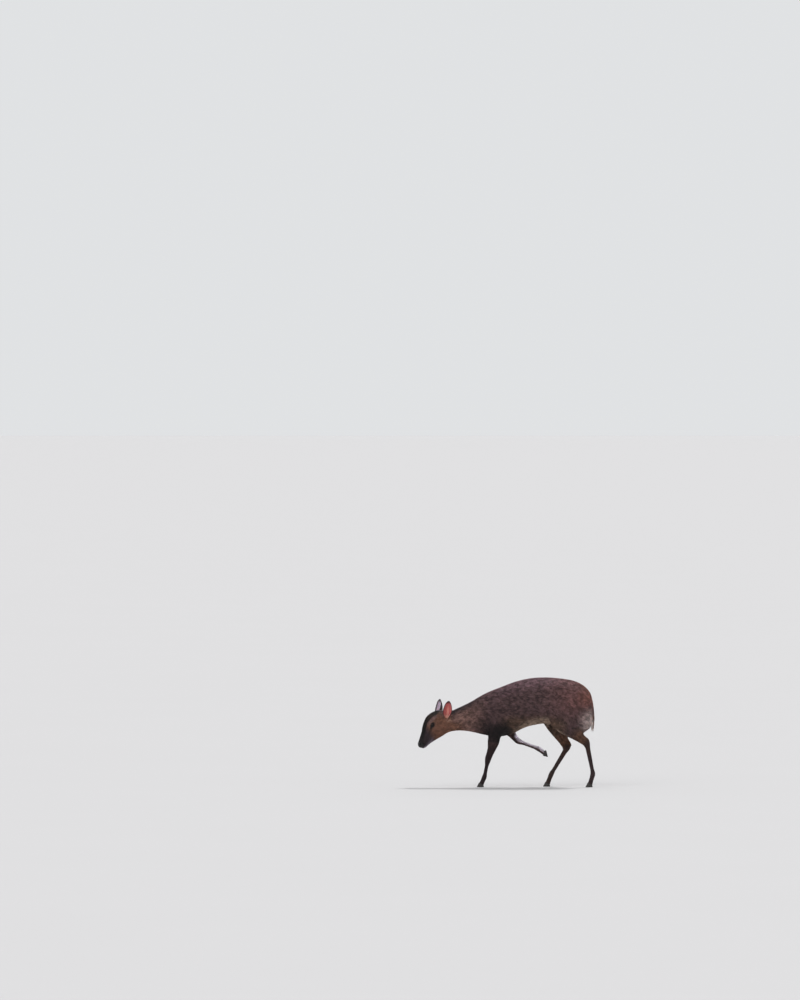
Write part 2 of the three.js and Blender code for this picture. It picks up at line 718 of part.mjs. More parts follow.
// Trunk and neck are parted from one field by a plane, the legs by planes of their own.
const foldAxis = new THREE.Vector3().subVectors(vec(FORE.right.knee), vec(FORE.right.elbow)).normalize();
const foldPoint = vec(between(FORE.right.elbow, FORE.right.knee, FOLD_CUT));

// A square block that starts at a point and runs on along a limb.
function blockBeyond(point, direction, wide, offset) {
  const block = new THREE.BoxGeometry(wide, wide, 110).translate(0, 0, 55 + offset);
  const turn = new THREE.Quaternion().setFromUnitVectors(new THREE.Vector3(0, 0, 1), direction);
  return solidOf(block.applyQuaternion(turn).translate(...point.toArray()));
}

const neckMiddle = (x) => (trunkAt(x).top + trunkAt(x).bottom) / 2;
const neckSide = (x) => NECK_BEND.side * clamp((x - NECK_BEND.from) / (NECK_BEND.to - NECK_BEND.from), 0, 1.1) ** 2;

function buildTrunk() {
  const torso = netSolid(bodyField, [-150, -120, 190], [440, 120, 520], CELL.torso);
  const legs = [
    boxSolid([-150, -120, 0], [20, -4, FORE_CUT + GAP / 2]),
    boxSolid([150, -130, 0], [450, 130, THIGH_CUT + GAP / 2]),
    blockBeyond(foldPoint, foldAxis, 58, -GAP / 2),
  ];
  const front = beyond(vec(NECK_CUT.at), vec(NECK_CUT.facing), -GAP / 2);
  nodes.torso = largestOf(legs.reduce((left, leg) => left.subtract(leg), torso).subtract(front));
  const line = [-82, -130, -180, -225, -262].map((x) => [x, neckSide(x), neckMiddle(x)]);
  const neck = ringSolid(ringsAlong(bodyField, line, 15, 26, 130));
  const kept = beyond(vec(NECK_CUT.at), vec(NECK_CUT.facing), GAP / 2);
  const ahead = beyond(vec(HEAD_CUT.at), vec(HEAD_CUT.facing), -GAP / 2);
  nodes.neck = largestOf(neck.intersect(kept).subtract(ahead));
}

// Head: its net, then sockets, lids, mouth, nostrils and the gland before each eye.
const eyeCenter = (side) => headPoint(EYE.u, EYE.n, side * EYE.l);

function lidRim(side) {
  const points = [];
  const count = 16;
  for (let k = 0; k < count; k++) {
    const a = (2 * Math.PI * k) / count;
    const high = EYE.lidHigh * (Math.sin(a) > 0 ? 1 : 0.82) * Math.abs(Math.sin(a)) ** 0.85 * Math.sign(Math.sin(a));
    const way = headDirection(EYE.lidLong * Math.cos(a), high - 0.12 * Math.cos(a), side * 0.8);
    points.push(eyeCenter(side).addScaledVector(way, EYE.radius + EYE.lid * 0.75));
  }
  return barAlong(points, EYE.lid, 6, true);
}

// A point on the head's surface, seen from its middle line along a direction across it.
function facePoint(u, n, across, ahead = 0) {
  const from = headPoint(u, n, 0);
  const way = headDirection(ahead, 0, across);
  return from.addScaledVector(way, rayTo(headField, from, way, 60));
}

function mouthGroove() {
  const points = [];
  const steps = 8;
  const height = (t) => MOUTH.at - MOUTH.dip * Math.sin(Math.PI * t) - 1.5 * (1 - t);
  for (let i = 0; i <= steps; i++) {
    const t = i / steps;
    points.push(facePoint(mix(MOUTH.corner, MOUTH.chin, t), height(t), -1));
  }
  for (const a of [-60, -30, 0, 30, 60])
    points.push(facePoint(MOUTH.chin, height(1), Math.sin(radians(a)), Math.cos(radians(a))));
  for (let i = steps; i >= 0; i--) {
    const t = i / steps;
    points.push(facePoint(mix(MOUTH.corner, MOUTH.chin, t), height(t), 1));
  }
  return barAlong(points, MOUTH.groove, 5);
}

function nostril(side) {
  const front = facePoint(NOSTRIL.u - 8, NOSTRIL.n, side * 0.75, 0.66);
  const back = facePoint(NOSTRIL.u - 12, NOSTRIL.n + 3.5, side * 0.9, 0.35);
  const ball = ballSolid(front, 2.9, 10, 7);
  return ball.add(barAlong([front, front.clone().lerp(back, 0.5), back], 1.5, 6));
}

function glandSlit(side) {
  const points = [20, 27, 35].map((u, i) => facePoint(u, -1 - i * 3.5, side));
  return barAlong(points, 2.1, 6);
}

function buildHead() {
  const line = [[-222, neckSide(-222), neckMiddle(-222)], ...NAPE_TURN];
  for (const [u, n] of HEAD_LINE) line.push(headPoint(u, n, 0).toArray());
  const rings = ringsAlong(bodyField, line, 31, 28, 80, [30, 55, 76]);
  const raw = ringSolid(rings, rings.apex);
  const bare = largestOf(raw.intersect(beyond(vec(HEAD_CUT.at), vec(HEAD_CUT.facing), GAP / 2)));
  let head = bare;
  for (const side of [-1, 1]) {
    head = head.add(lidRim(side)).subtract(ballSolid(eyeCenter(side), EYE.radius + GAP));
    head = head.subtract(nostril(side)).subtract(glandSlit(side));
    nodes[side < 0 ? "eye_left" : "eye_right"] = ballSolid(eyeCenter(side), EYE.radius);
  }
  nodes.head = largestOf(head.subtract(mouthGroove()));
  const room = grown(raw, GAP);
  for (const side of ["left", "right"]) nodes[`ear_${side}`] = largestOf(earSolid(earRoots[side].frame).subtract(room));
}

// An ear is a curled sheet: an outer and an inner row of arcs, joined along the rims.
function earSolid(frame) {
  const rings = EAR_ROWS.map((row) => {
    const ring = [];
    const arc = (radius, from, to) => {
      for (let k = 0; k <= EAR.around; k++) {
        const angle = radians(mix(from, to, k / EAR.around));
        const out = row.back + row.radius - radius * Math.cos(angle);
        ring.push(new THREE.Vector3(radius * Math.sin(angle), out, row.x).applyMatrix4(frame));
      }
    };
    arc(row.radius, -row.curl, row.curl);
    arc(row.radius - EAR.wall, row.curl, -row.curl);
    return ring;
  });
  const sheet = solidOf(rightWayOut(stripOfRings(rings)));
  const low = EAR_ROWS[0];
  const plug = new THREE.CylinderGeometry(10.2, 8.2, 14, 14).rotateX(Math.PI / 2).translate(0, low.radius, 1);
  return sheet.add(solidOf(plug.applyMatrix4(frame)));
}

// Like rings closed with fans, but each end is closed straight across the sheet's own thickness.
function stripOfRings(rings) {
  const around = rings[0].length;
  const half = around / 2;
  const points = rings.flat();
  const faces = [];
  for (let i = 1; i < rings.length; i++)
    for (let k = 0; k < around; k++) {
      const [a, b] = [(i - 1) * around + k, (i - 1) * around + ((k + 1) % around)];
      faces.push(a, b, b + around, a, b + around, a + around);
    }
  for (const [first, flip] of [
    [0, true],
    [(rings.length - 1) * around, false],
  ])
    for (let k = 0; k < half - 1; k++) {
      const [a, b] = [first + k, first + k + 1];
      const [c, d] = [first + around - 2 - k, first + around - 1 - k];
      const quad = [a, b, c, a, c, d];
      faces.push(...(flip ? quad.reverse() : quad));
    }
  return new THREE.BufferGeometry().setFromPoints(points).setIndex(faces);
}

// Feet.
function coronetPlane(leg, offset) {
  const at = vec(footPoint(leg, 0, 0, FOOT.coronet));
  const up = vec(footPoint(leg, -FOOT.slope, 0, 1)).sub(vec(footPoint(leg, 0, 0, 0)));
  return beyond(at, up, offset);
}

function clawSolid(leg, side) {
  const rings = CLAW_ROWS.map((row) =>
    CLAW_OUTLINE.map(([f, s]) => {
      const forward = f > 0 ? f * row.toe : f * row.heel;
      return vec(footPoint(leg, forward, side * (FOOT.gap + s * row.half), row.up));
    }),
  );
  return ringSolid(rings).subtract(coronetPlane(leg, -GAP / 2));
}

function dewclawSolid(leg, side) {
  const pastern = new THREE.Vector3().subVectors(vec(footPoint(leg, 0, 0, 14)), vec(leg.fetlock)).normalize();
  const back = vec(footPoint(leg, -1, 0, 0)).sub(vec(footPoint(leg, 0, 0, 0)));
  const root = vec(leg.fetlock).addScaledVector(back, DEWCLAW.back - 3).addScaledVector(pastern, DEWCLAW.down);
  root.y += side * DEWCLAW.side;
  const way = pastern.clone().multiplyScalar(0.8).addScaledVector(back, 0.6).normalize();
  const cone = new THREE.CylinderGeometry(DEWCLAW.tip, DEWCLAW.root, DEWCLAW.long, 8).translate(0, DEWCLAW.long / 2, 0);
  const turn = new THREE.Quaternion().setFromUnitVectors(new THREE.Vector3(0, 1, 0), way);
  return solidOf(cone.applyQuaternion(turn).translate(...root.toArray()));
}

function addFoot(leg, name, flesh) {
  const body = largestOf(flesh.intersect(coronetPlane(leg, GAP / 2)));
  const outer = name.endsWith("left") ? -1 : 1;
  const room = grown(body, GAP);
  for (const side of [-1, 1]) {
    const which = side === outer ? "outer" : "inner";
    nodes[`hoof_${name}_${which}`] = clawSolid(leg, side);
    nodes[`dewclaw_${name}_${which}`] = largestOf(dewclawSolid(leg, side).subtract(room));
  }
  nodes[`leg_${name}`] = body;
}

function buildForelegs() {
  for (const [side, leg] of Object.entries(FORE)) {
    const field = (p) => join(trunkField(p), forelegField(p, leg), 18);
    const start = side === "left" ? between(leg.elbow, leg.knee, 0.2) : between(leg.elbow, leg.knee, FOLD_CUT - 0.1);
    const end = footPoint(leg, 0, 0, 8);
    const rings = ringsAlong(field, [start, leg.knee, leg.fetlock, end], side === "left" ? 21 : 18, 12, 48);
    const cut =
      side === "left"
        ? beyond(new THREE.Vector3(0, 0, FORE_CUT), new THREE.Vector3(0, 0, -1), GAP / 2)
        : beyond(foldPoint, foldAxis, GAP / 2);
    addFoot(leg, `front_${side}`, ringSolid(rings).intersect(cut));
  }
}

function buildHindlegs() {
  for (const [side, leg] of Object.entries(HIND)) {
    const flip = Math.sign(leg.hip[1]);
    const field = (p) => (p.y * flip < 2 ? 20 : hindlegField(p, leg));
    const start = between(leg.stifle, leg.hock, SHANK_RINGS - 0.08);
    const split = vec(between(leg.stifle, leg.hock, SHANK_RINGS + 0.04));
    const shank = new THREE.Vector3().subVectors(vec(leg.hock), vec(leg.stifle)).normalize();
    const span = flip < 0 ? [-110, 5] : [-5, 110];
    const thigh = netSolid(field, [150, span[0], 130], [430, span[1], 320], CELL.thigh);
    const upper = thigh
      .intersect(beyond(new THREE.Vector3(0, 0, THIGH_CUT), new THREE.Vector3(0, 0, -1), GAP / 2))
      .subtract(blockBeyond(split, shank, 66, 0));
    const joints = [start, leg.hock, leg.fetlock, footPoint(leg, 0, 0, 8)];
    const lower = ringSolid(ringsAlong(field, joints, 18, 12, 25));
    const below = beyond(new THREE.Vector3(0, 0, THIGH_CUT), new THREE.Vector3(0, 0, -1), GAP / 2);
    addFoot(leg, `hind_${side}`, largestOf(upper.add(lower.intersect(below))));
  }
}

// Tail: a flat core that hangs close to the rump, with locks fused on.
function lockSolid(points, outs) {
  const rings = points.map((point, i) => {
    const t = i / (points.length - 1);
    const half = LOCK.half * (1 - t ** 1.6) * (0.65 + 0.35 * Math.sin(Math.PI * Math.min(t * 1.6, 1))) + 0.25;
    const thick = LOCK.thick * (1 - 0.8 * t) + 0.1;
    const across = new THREE.Vector3(0, 1, 0);
    return [
      point.clone().addScaledVector(across, half),
      point.clone().addScaledVector(outs[i], thick),
      point.clone().addScaledVector(across, -half),
      point.clone().addScaledVector(outs[i], -thick),
    ];
  });
  return ringSolid(rings);
}

function buildTail() {
  const joints = TAIL.map((row) => row.at);
  const curve = new THREE.CatmullRomCurve3(joints.map(vec), false, "centripetal");
  let tail = ringSolid(ringsAlong(tailField, joints, 11, 12, 30));
  for (const [i, lock] of TAIL_LOCKS.entries()) {
    const points = [];
    const outs = [];
    const total = curve.getLength();
    for (let k = 0; k <= 4; k++) {
      const s = lock.down + (lock.long / total) * (k / 4);
      const inside = Math.min(s, 1);
      const along = curve.getTangentAt(inside);
      const out = new THREE.Vector3(-along.z, 0, along.x).multiplyScalar(-1);
      const deep = mix(9, 4.5, inside);
      const point = curve.getPointAt(inside).addScaledVector(along, (s - inside) * total);
      const rise = deep * Math.sqrt(Math.max(1 - (lock.across * 0.85) ** 2, 0)) - LOCK.sink;
      point.addScaledVector(out, rise + LOCK.sink * 0.5 * k ** 0.7 + LOCK.lift * Math.sin(i * 2.4 + k));
      point.y += lock.across * deep * TAIL_FLAT * (1 - 0.09 * k);
      points.push(point);
      outs.push(out);
    }
    tail = tail.add(lockSolid(points, outs));
  }
  nodes.tail = largestOf(tail.subtract(grown(nodes.torso, GAP)));
}

buildTrunk();
buildHead();
buildForelegs();
buildHindlegs();
buildTail();

// Materials, and the finished group with its feet on Z = 0 and its middle at the origin.
const paint = (color, roughness) => new THREE.MeshStandardMaterial({ color, roughness, metalness: 0 });
const COAT = paint(0x6e4a3c, 0.9);
const EAR_SKIN = paint(0x8a5f56, 0.85);
const LEG_COAT = paint(0x3c2a24, 0.9);
const TAIL_COAT = paint(0x8c4c34, 0.9);
const EYE_GLOSS = paint(0x120b08, 0.15);
const HORN = paint(0x1d1814, 0.5);

function materialOf(name) {
  if (name.startsWith("eye")) return EYE_GLOSS;
  if (name.startsWith("hoof") || name.startsWith("dewclaw")) return HORN;
  if (name.startsWith("ear")) return EAR_SKIN;
  if (name.startsWith("leg")) return LEG_COAT;
  return name === "tail" ? TAIL_COAT : COAT;
}

const whole = new THREE.Box3();
const geometries = Object.entries(nodes).map(([name, solid]) => {
  const geometry = geometryOf(solid);
  geometry.computeBoundingBox();
  whole.union(geometry.boundingBox);
  return [name, geometry];
});
const middle = whole.getCenter(new THREE.Vector3());

const group = new THREE.Group();
group.name = "muntjac_doe";
for (const [name, geometry] of geometries) {
  geometry.translate(-middle.x, -middle.y, -whole.min.z);
  geometry.computeVertexNormals();
  const mesh = new THREE.Mesh(geometry, materialOf(name));
  mesh.name = name;
  group.add(mesh);
}

export default group;
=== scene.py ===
"""The looks of a Reeves's muntjac doe, walking with her head low and one foreleg lifted.

One skin takes the place of the solids of flesh, with her lids built into it, and her coat lies
over it in thousands of small mesh tufts. Eyes, ears, hooves and dewclaws are pieces of their
own, and the tail is long hair round a slim core.
Lengths are in millimetres in the part's own frame, and metres once they reach Blender.
"""

from __future__ import annotations

import logging
import math
from dataclasses import dataclass, field
from enum import IntEnum
from typing import Any, Callable, Iterable, Sequence, Union

import bpy
import numpy as np
from mathutils import Matrix, Vector
from mathutils.bvhtree import BVHTree


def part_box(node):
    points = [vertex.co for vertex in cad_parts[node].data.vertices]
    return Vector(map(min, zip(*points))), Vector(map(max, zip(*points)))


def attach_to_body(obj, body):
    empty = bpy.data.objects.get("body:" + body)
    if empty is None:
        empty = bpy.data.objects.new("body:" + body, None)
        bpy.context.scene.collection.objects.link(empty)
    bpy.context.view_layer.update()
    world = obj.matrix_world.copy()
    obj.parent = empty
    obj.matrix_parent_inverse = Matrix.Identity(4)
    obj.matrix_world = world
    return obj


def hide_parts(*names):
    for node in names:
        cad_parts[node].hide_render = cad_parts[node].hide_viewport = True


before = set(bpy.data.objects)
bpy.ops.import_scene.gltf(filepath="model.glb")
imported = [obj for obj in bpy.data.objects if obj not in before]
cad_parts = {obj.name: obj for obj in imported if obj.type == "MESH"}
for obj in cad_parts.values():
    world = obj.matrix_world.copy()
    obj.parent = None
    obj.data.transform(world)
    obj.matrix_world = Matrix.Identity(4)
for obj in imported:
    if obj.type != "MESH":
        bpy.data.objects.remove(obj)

# Names, units and shared numbers.
LOG = logging.getLogger("muntjac")
MM = 0.001
SEED = 20
MERGE = 1e-6
BARE_SPACING = 1e6
CELL_CODE = np.array([12.9898, 78.233, 37.719])
CELL_CODES = np.column_stack([CELL_CODE, [39.3468, 11.135, 83.155]])
CELL_STEP = 43758.5453
Array = np.ndarray
Object = bpy.types.Object
Triple = tuple[float, float, float]
Pairs = Sequence[tuple[float, float]]
Layers = Iterable[tuple[str, Array]]
Number = Union[float, "Wire"]


class Side(IntEnum):
    """One side of her, as the sign of its places across her body."""

    LEFT = -1
    RIGHT = 1

    @property
    def label(self) -> str:
        """The side as names of pieces say it."""
        return self.name.lower()


def side_of(leg: str) -> Side:
    """The side that a leg's name tells."""
    return Side.RIGHT if leg.endswith("right") else Side.LEFT


# Small sums on arrays.
def smooth(low: float, high: float, value: Array) -> Array:
    """Runs from 0 at low to 1 at high, level at both ends."""
    t = np.clip((value - low) / (high - low), 0, 1)
    return t * t * (3 - 2 * t)


def unit(rows: Array) -> Array:
    """Rows of an array, each made one long."""
    return rows / np.maximum(np.linalg.norm(rows, axis=-1, keepdims=True), 1e-12)


def mix(a: Array, b: Array, t: Array) -> Array:
    """The mean of a and b, with t as the share of b."""
    return a + (b - a) * t


def flattened(rows: Array, normals: Array) -> Array:
    """Rows without what they hold along normals."""
    return rows - normals * np.sum(rows * normals, axis=1, keepdims=True)


def from_segment(points: Array, start: Array, end: Array) -> tuple[Array, Array]:
    """How far points are from a line between two ends.

    Args:
        points: Places, one a row.
        start: One end.
        end: The other end.

    Returns:
        Each point's distance, and how far along the line its nearest place is, from 0 to 1.
    """
    line = end - start
    along = np.clip((points - start) @ line / (line @ line), 0, 1)
    return np.linalg.norm(points - start - along[:, None] * line, axis=1), along


def from_path(points: Array, path: Array) -> Array:
    """How far points are from a line through several places."""
    return np.min([from_segment(points, a, b)[0] for a, b in zip(path[:-1], path[1:])], axis=0)


def rounded(rows: Array, count: int) -> Array:
    """A smooth curve through rows of numbers, as count rows that are evenly shared out."""
    padded = np.vstack([2 * rows[0] - rows[1], rows, 2 * rows[-1] - rows[-2]])
    spots = np.linspace(0, len(rows) - 1 - 1e-9, count)
    i = spots.astype(int)
    t = (spots - i)[:, None]
    a, b, c, d = padded[i], padded[i + 1], padded[i + 2], padded[i + 3]
    return 0.5 * (2 * b + (c - a) * t + (2 * a - 5 * b + 4 * c - d) * t**2 + (3 * b - a - 3 * c + d) * t**3)


def linear(code: int) -> Array:
    """A colour written as 0xRRGGBB, in the linear numbers that shaders use."""
    srgb = np.array([code >> 16 & 255, code >> 8 & 255, code & 255]) / 255
    return np.where(srgb < 0.04045, srgb / 12.92, ((srgb + 0.055) / 1.055) ** 2.4)


# Small steps on Blender objects.
def deselect() -> None:
    """Leaves nothing selected."""
    for other in bpy.context.selected_objects:
        other.select_set(False)


def only(obj: Object) -> Object:
    """Makes obj the one selected object and the active one."""
    deselect()
    obj.select_set(True)
    bpy.context.view_layer.objects.active = obj
    return obj


def new_piece(add: Callable[..., Any], name: str, **settings: Any) -> Object:
    """Adds a primitive at the origin with nothing else selected.

    Args:
        add: The primitive's operator.
        name: The object's name.
        **settings: The operator's own settings.

    Returns:
        The new object.
    """
    deselect()
    add(**settings)
    return named(bpy.context.view_layer.objects.active, name)


def named(obj: Object, name: str) -> Object:
    """Gives obj and its mesh one name."""
    obj.name = name
    obj.data.name = name
    return obj


def linked(name: str, data: Any) -> Object:
    """A new object in the scene that holds data."""
    obj = bpy.data.objects.new(name, data)
    bpy.context.scene.collection.objects.link(obj)
    return obj


def solid_copy(node: str, name: str) -> Object:
    """A copy of one solid, with the corners of its faces merged."""
    copy = linked(name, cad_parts[node].data.copy())
    return in_edit(copy, lambda: bpy.ops.mesh.remove_doubles(threshold=MERGE))


def modify(obj: Object, kind: str, **settings: Any) -> Object:
    """Adds one modifier to obj with its settings, and applies it."""
    only(obj)
    step = obj.modifiers.new(kind.lower(), kind)
    for key, value in settings.items():
        setattr(step, key, value)
    bpy.ops.object.modifier_apply(modifier=step.name)
    return obj


def read(items: Any, key: str, kind: type = float) -> Array:
    """Three numbers of each item of a mesh, such as each vertex's place, as rows."""
    flat = np.empty(len(items) * 3, kind)
    items.foreach_get(key, flat)
    return flat.reshape(-1, 3)


def places(obj: Object) -> Array:
    """Where obj's vertices are, in millimetres in the part's own frame."""
    return DOE.to_own(read(obj.data.vertices, "co"))


def put(obj: Object, points: Array) -> Object:
    """Moves obj's vertices to points, given in millimetres in the part's own frame."""
    obj.data.vertices.foreach_set("co", DOE.to_frame(points).ravel())
    obj.data.update()
    return obj


def facings(obj: Object) -> Array:
    """The normals of obj's vertices."""
    return read(obj.data.vertex_normals, "vector")


def weigh(obj: Object, name: str, weights: Array) -> str:
    """Writes a vertex group with a weight for each vertex, in 64 steps, and returns its name."""
    group = obj.vertex_groups.new(name=name)
    steps = np.round(np.clip(weights, 0, 1) * 64).astype(int)
    for step in np.unique(steps):
        group.add(np.nonzero(steps == step)[0].tolist(), step / 64, "REPLACE")
    return name


def attach(obj: Object, name: str, rows: Array) -> None:
    """Writes a colour or a vector for each vertex of obj, as an attribute that its shader reads."""
    coloured = rows.shape[1] == 4
    layer = obj.data.attributes.new(name, "FLOAT_COLOR" if coloured else "FLOAT_VECTOR", "POINT")
    layer.data.foreach_set("color" if coloured else "vector", rows.astype(np.float32).ravel())


def joined(parts: Sequence[Object], name: str) -> Object:
    """Joins objects into the first one and gives it a name."""
    only(parts[0])
    for part in parts[1:]:
        part.select_set(True)
    bpy.ops.object.join()
    return named(parts[0], name)


# Her measurements.
@dataclass(frozen=True)
class Head:
    """Her head's own axes: u runs to the nose, n out of the forehead and l to her right."""

    middle: Triple = (-341.5, -26, 277.8)
    pitch: float = 52.5
    yaw: float = 17
    roll: float = -8
    eye: Triple = (0, 8, 26.5)
    eye_radius: float = 12
    lid_front: float = 0.92
    lid_back: float = 0.84
    lid_above: float = 0.6
    lid_below: float = 0.48
    lid_slant: float = 0.13
    lid_out: float = 0.8
    lid_round: float = 1.12
    eye_front: float = 10
    eye_long: float = 10
    eye_high: float = 7
    eye_behind: float = 24

    @property
    def axes(self) -> Array:
        """Rows u, n and l as directions."""
        pitch = math.radians(self.pitch)
        turn = Matrix.Rotation(math.radians(self.yaw), 3, "Z")
        u = turn @ Vector((-math.cos(pitch), 0, -math.sin(pitch)))
        roll = Matrix.Rotation(math.radians(self.roll), 3, u)
        n = roll @ turn @ Vector((-math.sin(pitch), 0, math.cos(pitch)))
        return np.array([u, n, roll @ turn @ Vector((0, 1, 0))])

    def at(self, u: float, n: float, l: float) -> Array:
        """A place given along the head's axes."""
        return np.array(self.middle) + np.array([u, n, l]) @ self.axes

    def way(self, u: float, n: float, l: float) -> Array:
        """A direction given along the head's axes."""
        return unit(np.array([u, n, l]) @ self.axes)

    def local(self, points: Array) -> Array:
        """Points as rows of u, n and l."""
        return (points - self.middle) @ self.axes.T

    def eye_at(self, side: Side) -> Array:
        """The middle of one eye."""
        u, n, l = self.eye
        return self.at(u, n, side * l)

    def lid_way(self, side: Side, turn: Array, spread: Array) -> Array:
        """Directions from an eye's middle, round the opening of its lids and out from it by spread."""
        along, rise = np.cos(turn), np.sin(turn)
        long = along * np.where(along > 0, self.lid_front, self.lid_back)
        high = np.abs(rise) ** self.lid_round * np.where(rise > 0, self.lid_above, -self.lid_below)
        high = (high - self.lid_slant * long) * spread
        out = np.full_like(turn, side * self.lid_out)
        return unit(np.column_stack([long * spread, high, out]) @ self.axes)

    def eye_round(self, side: Side, points: Array) -> tuple[Array, Array]:
        """How many times as far as its lids' edge points are from an eye's front, seen from her side.

        Args:
            side: Which eye.
            points: Places, one a row.

        Returns:
            The number for each point, and the directions away from the eye's front.
        """
        front = self.at(self.eye[0], self.eye[1], side * (self.eye[2] + self.eye_front))
        off = (points - front) @ self.axes.T
        high = off[:, 1] + self.lid_slant * off[:, 0]
        flat = np.hypot(off[:, 0] / self.eye_long, high / self.eye_high)
        return flat + 9.0 * (side * off[:, 2] < -self.eye_behind), unit(points - front)

    def lid_turn(self, side: Side, points: Array) -> tuple[Array, Array]:
        """Where points are round the opening of an eye's lids.

        Args:
            side: Which eye.
            points: Places, one a row.

        Returns:
            How far out they are, 1 on the opening's edge and more beyond it, and at what turn.
        """
        off = self.local(points) - np.array([self.eye[0], self.eye[1], side * self.eye[2]])
        out = np.maximum(side * off[:, 2], 0.5) / self.lid_out
        long = off[:, 0] / out
        high = off[:, 1] / out + self.lid_slant * long
        long = long / np.where(long > 0, self.lid_front, self.lid_back)
        high = high / np.where(high > 0, self.lid_above, self.lid_below)
        beyond = 0.15 * np.maximum(np.linalg.norm(off, axis=1) - 16, 0)
        return np.hypot(long, high) + beyond, np.arctan2(high, long)


@dataclass(frozen=True)
class Leg:
    """One leg's joints from the trunk down. swing turns its foot about Y from standing, in degrees."""

    joints: tuple[Triple, ...]
    swing: float = 0

    def joint(self, number: int) -> Array:
        """One joint, counted from the trunk. -1 is the middle of the hoof's sole."""
        return np.array(self.joints[number], float)

    def foot(self, forward: float, side: float, up: float) -> Array:
        """A place given from the hoof's sole, as far forward, to her right and up as said."""
        turn = math.radians(self.swing)
        out = np.array([-math.cos(turn), 0, math.sin(turn)])
        rise = np.array([math.sin(turn), 0, math.cos(turn)])
        return self.joint(-1) + out * forward + rise * up + np.array([0, side, 0])

    def foot_way(self, forward: float, up: float) -> Array:
        """A direction given forward and up from the hoof's sole."""
        return self.foot(forward, 0, up) - self.joint(-1)


LEGS = {
    "front_left": Leg(
        ((-66, -43, 318), (-34, -45, 258), (-82, -33, 131), (-99, -24, 45), (-115, -21, 0))
    ),
    "front_right": Leg(
        ((-62, 43, 325), (-16, 47, 285), (50, 43, 205), (143, 37, 171), (183, 37, 151)), swing=-104
    ),
    "hind_left": Leg(
        ((318, -48, 392), (236, -54, 294), (362, -42, 193), (389, -38, 60), (374, -37, 0))
    ),
    "hind_right": Leg(
        ((306, 48, 388), (200, 54, 304), (272, 41, 171), (203, 38, 57), (184, 36, 0))
    ),
}
NECK_LINE = np.array([(-311, -17, 275.5), (-250, -8, 293), (-180, -3, 315), (-106, 0, 330)], float)
BACK_LINE = np.array([(-106, 0, 330), (-10, 0, 352), (110, 0, 384), (225, 0, 390), (322, 0, 395)], float)
RUMP_LINE = np.array([(345, 0, 420), (378, 0, 318)], float)
TAIL_LINE = np.array(
    [(344, 0, 424), (369, 0, 405), (383, 0, 373), (388, 0, 337), (387, 0, 300), (384, 0, 268)], float
)


@dataclass(frozen=True)
class Lie:
    """How the coat lies along one run of the body.

    length is a tuft's, depth is the coat's, and spacing is how far apart roots are. The hair
    lies along the run, or towards way where that is given.
    """

    start: Array
    end: Array
    reach: float
    length: float
    depth: float
    spacing: float
    coat: str
    way: Triple | None = None
    weight: float = 1

    @property
    def direction(self) -> Array:
        """The way that the hair points."""
        return unit(np.array(self.way, float) if self.way else self.end - self.start)


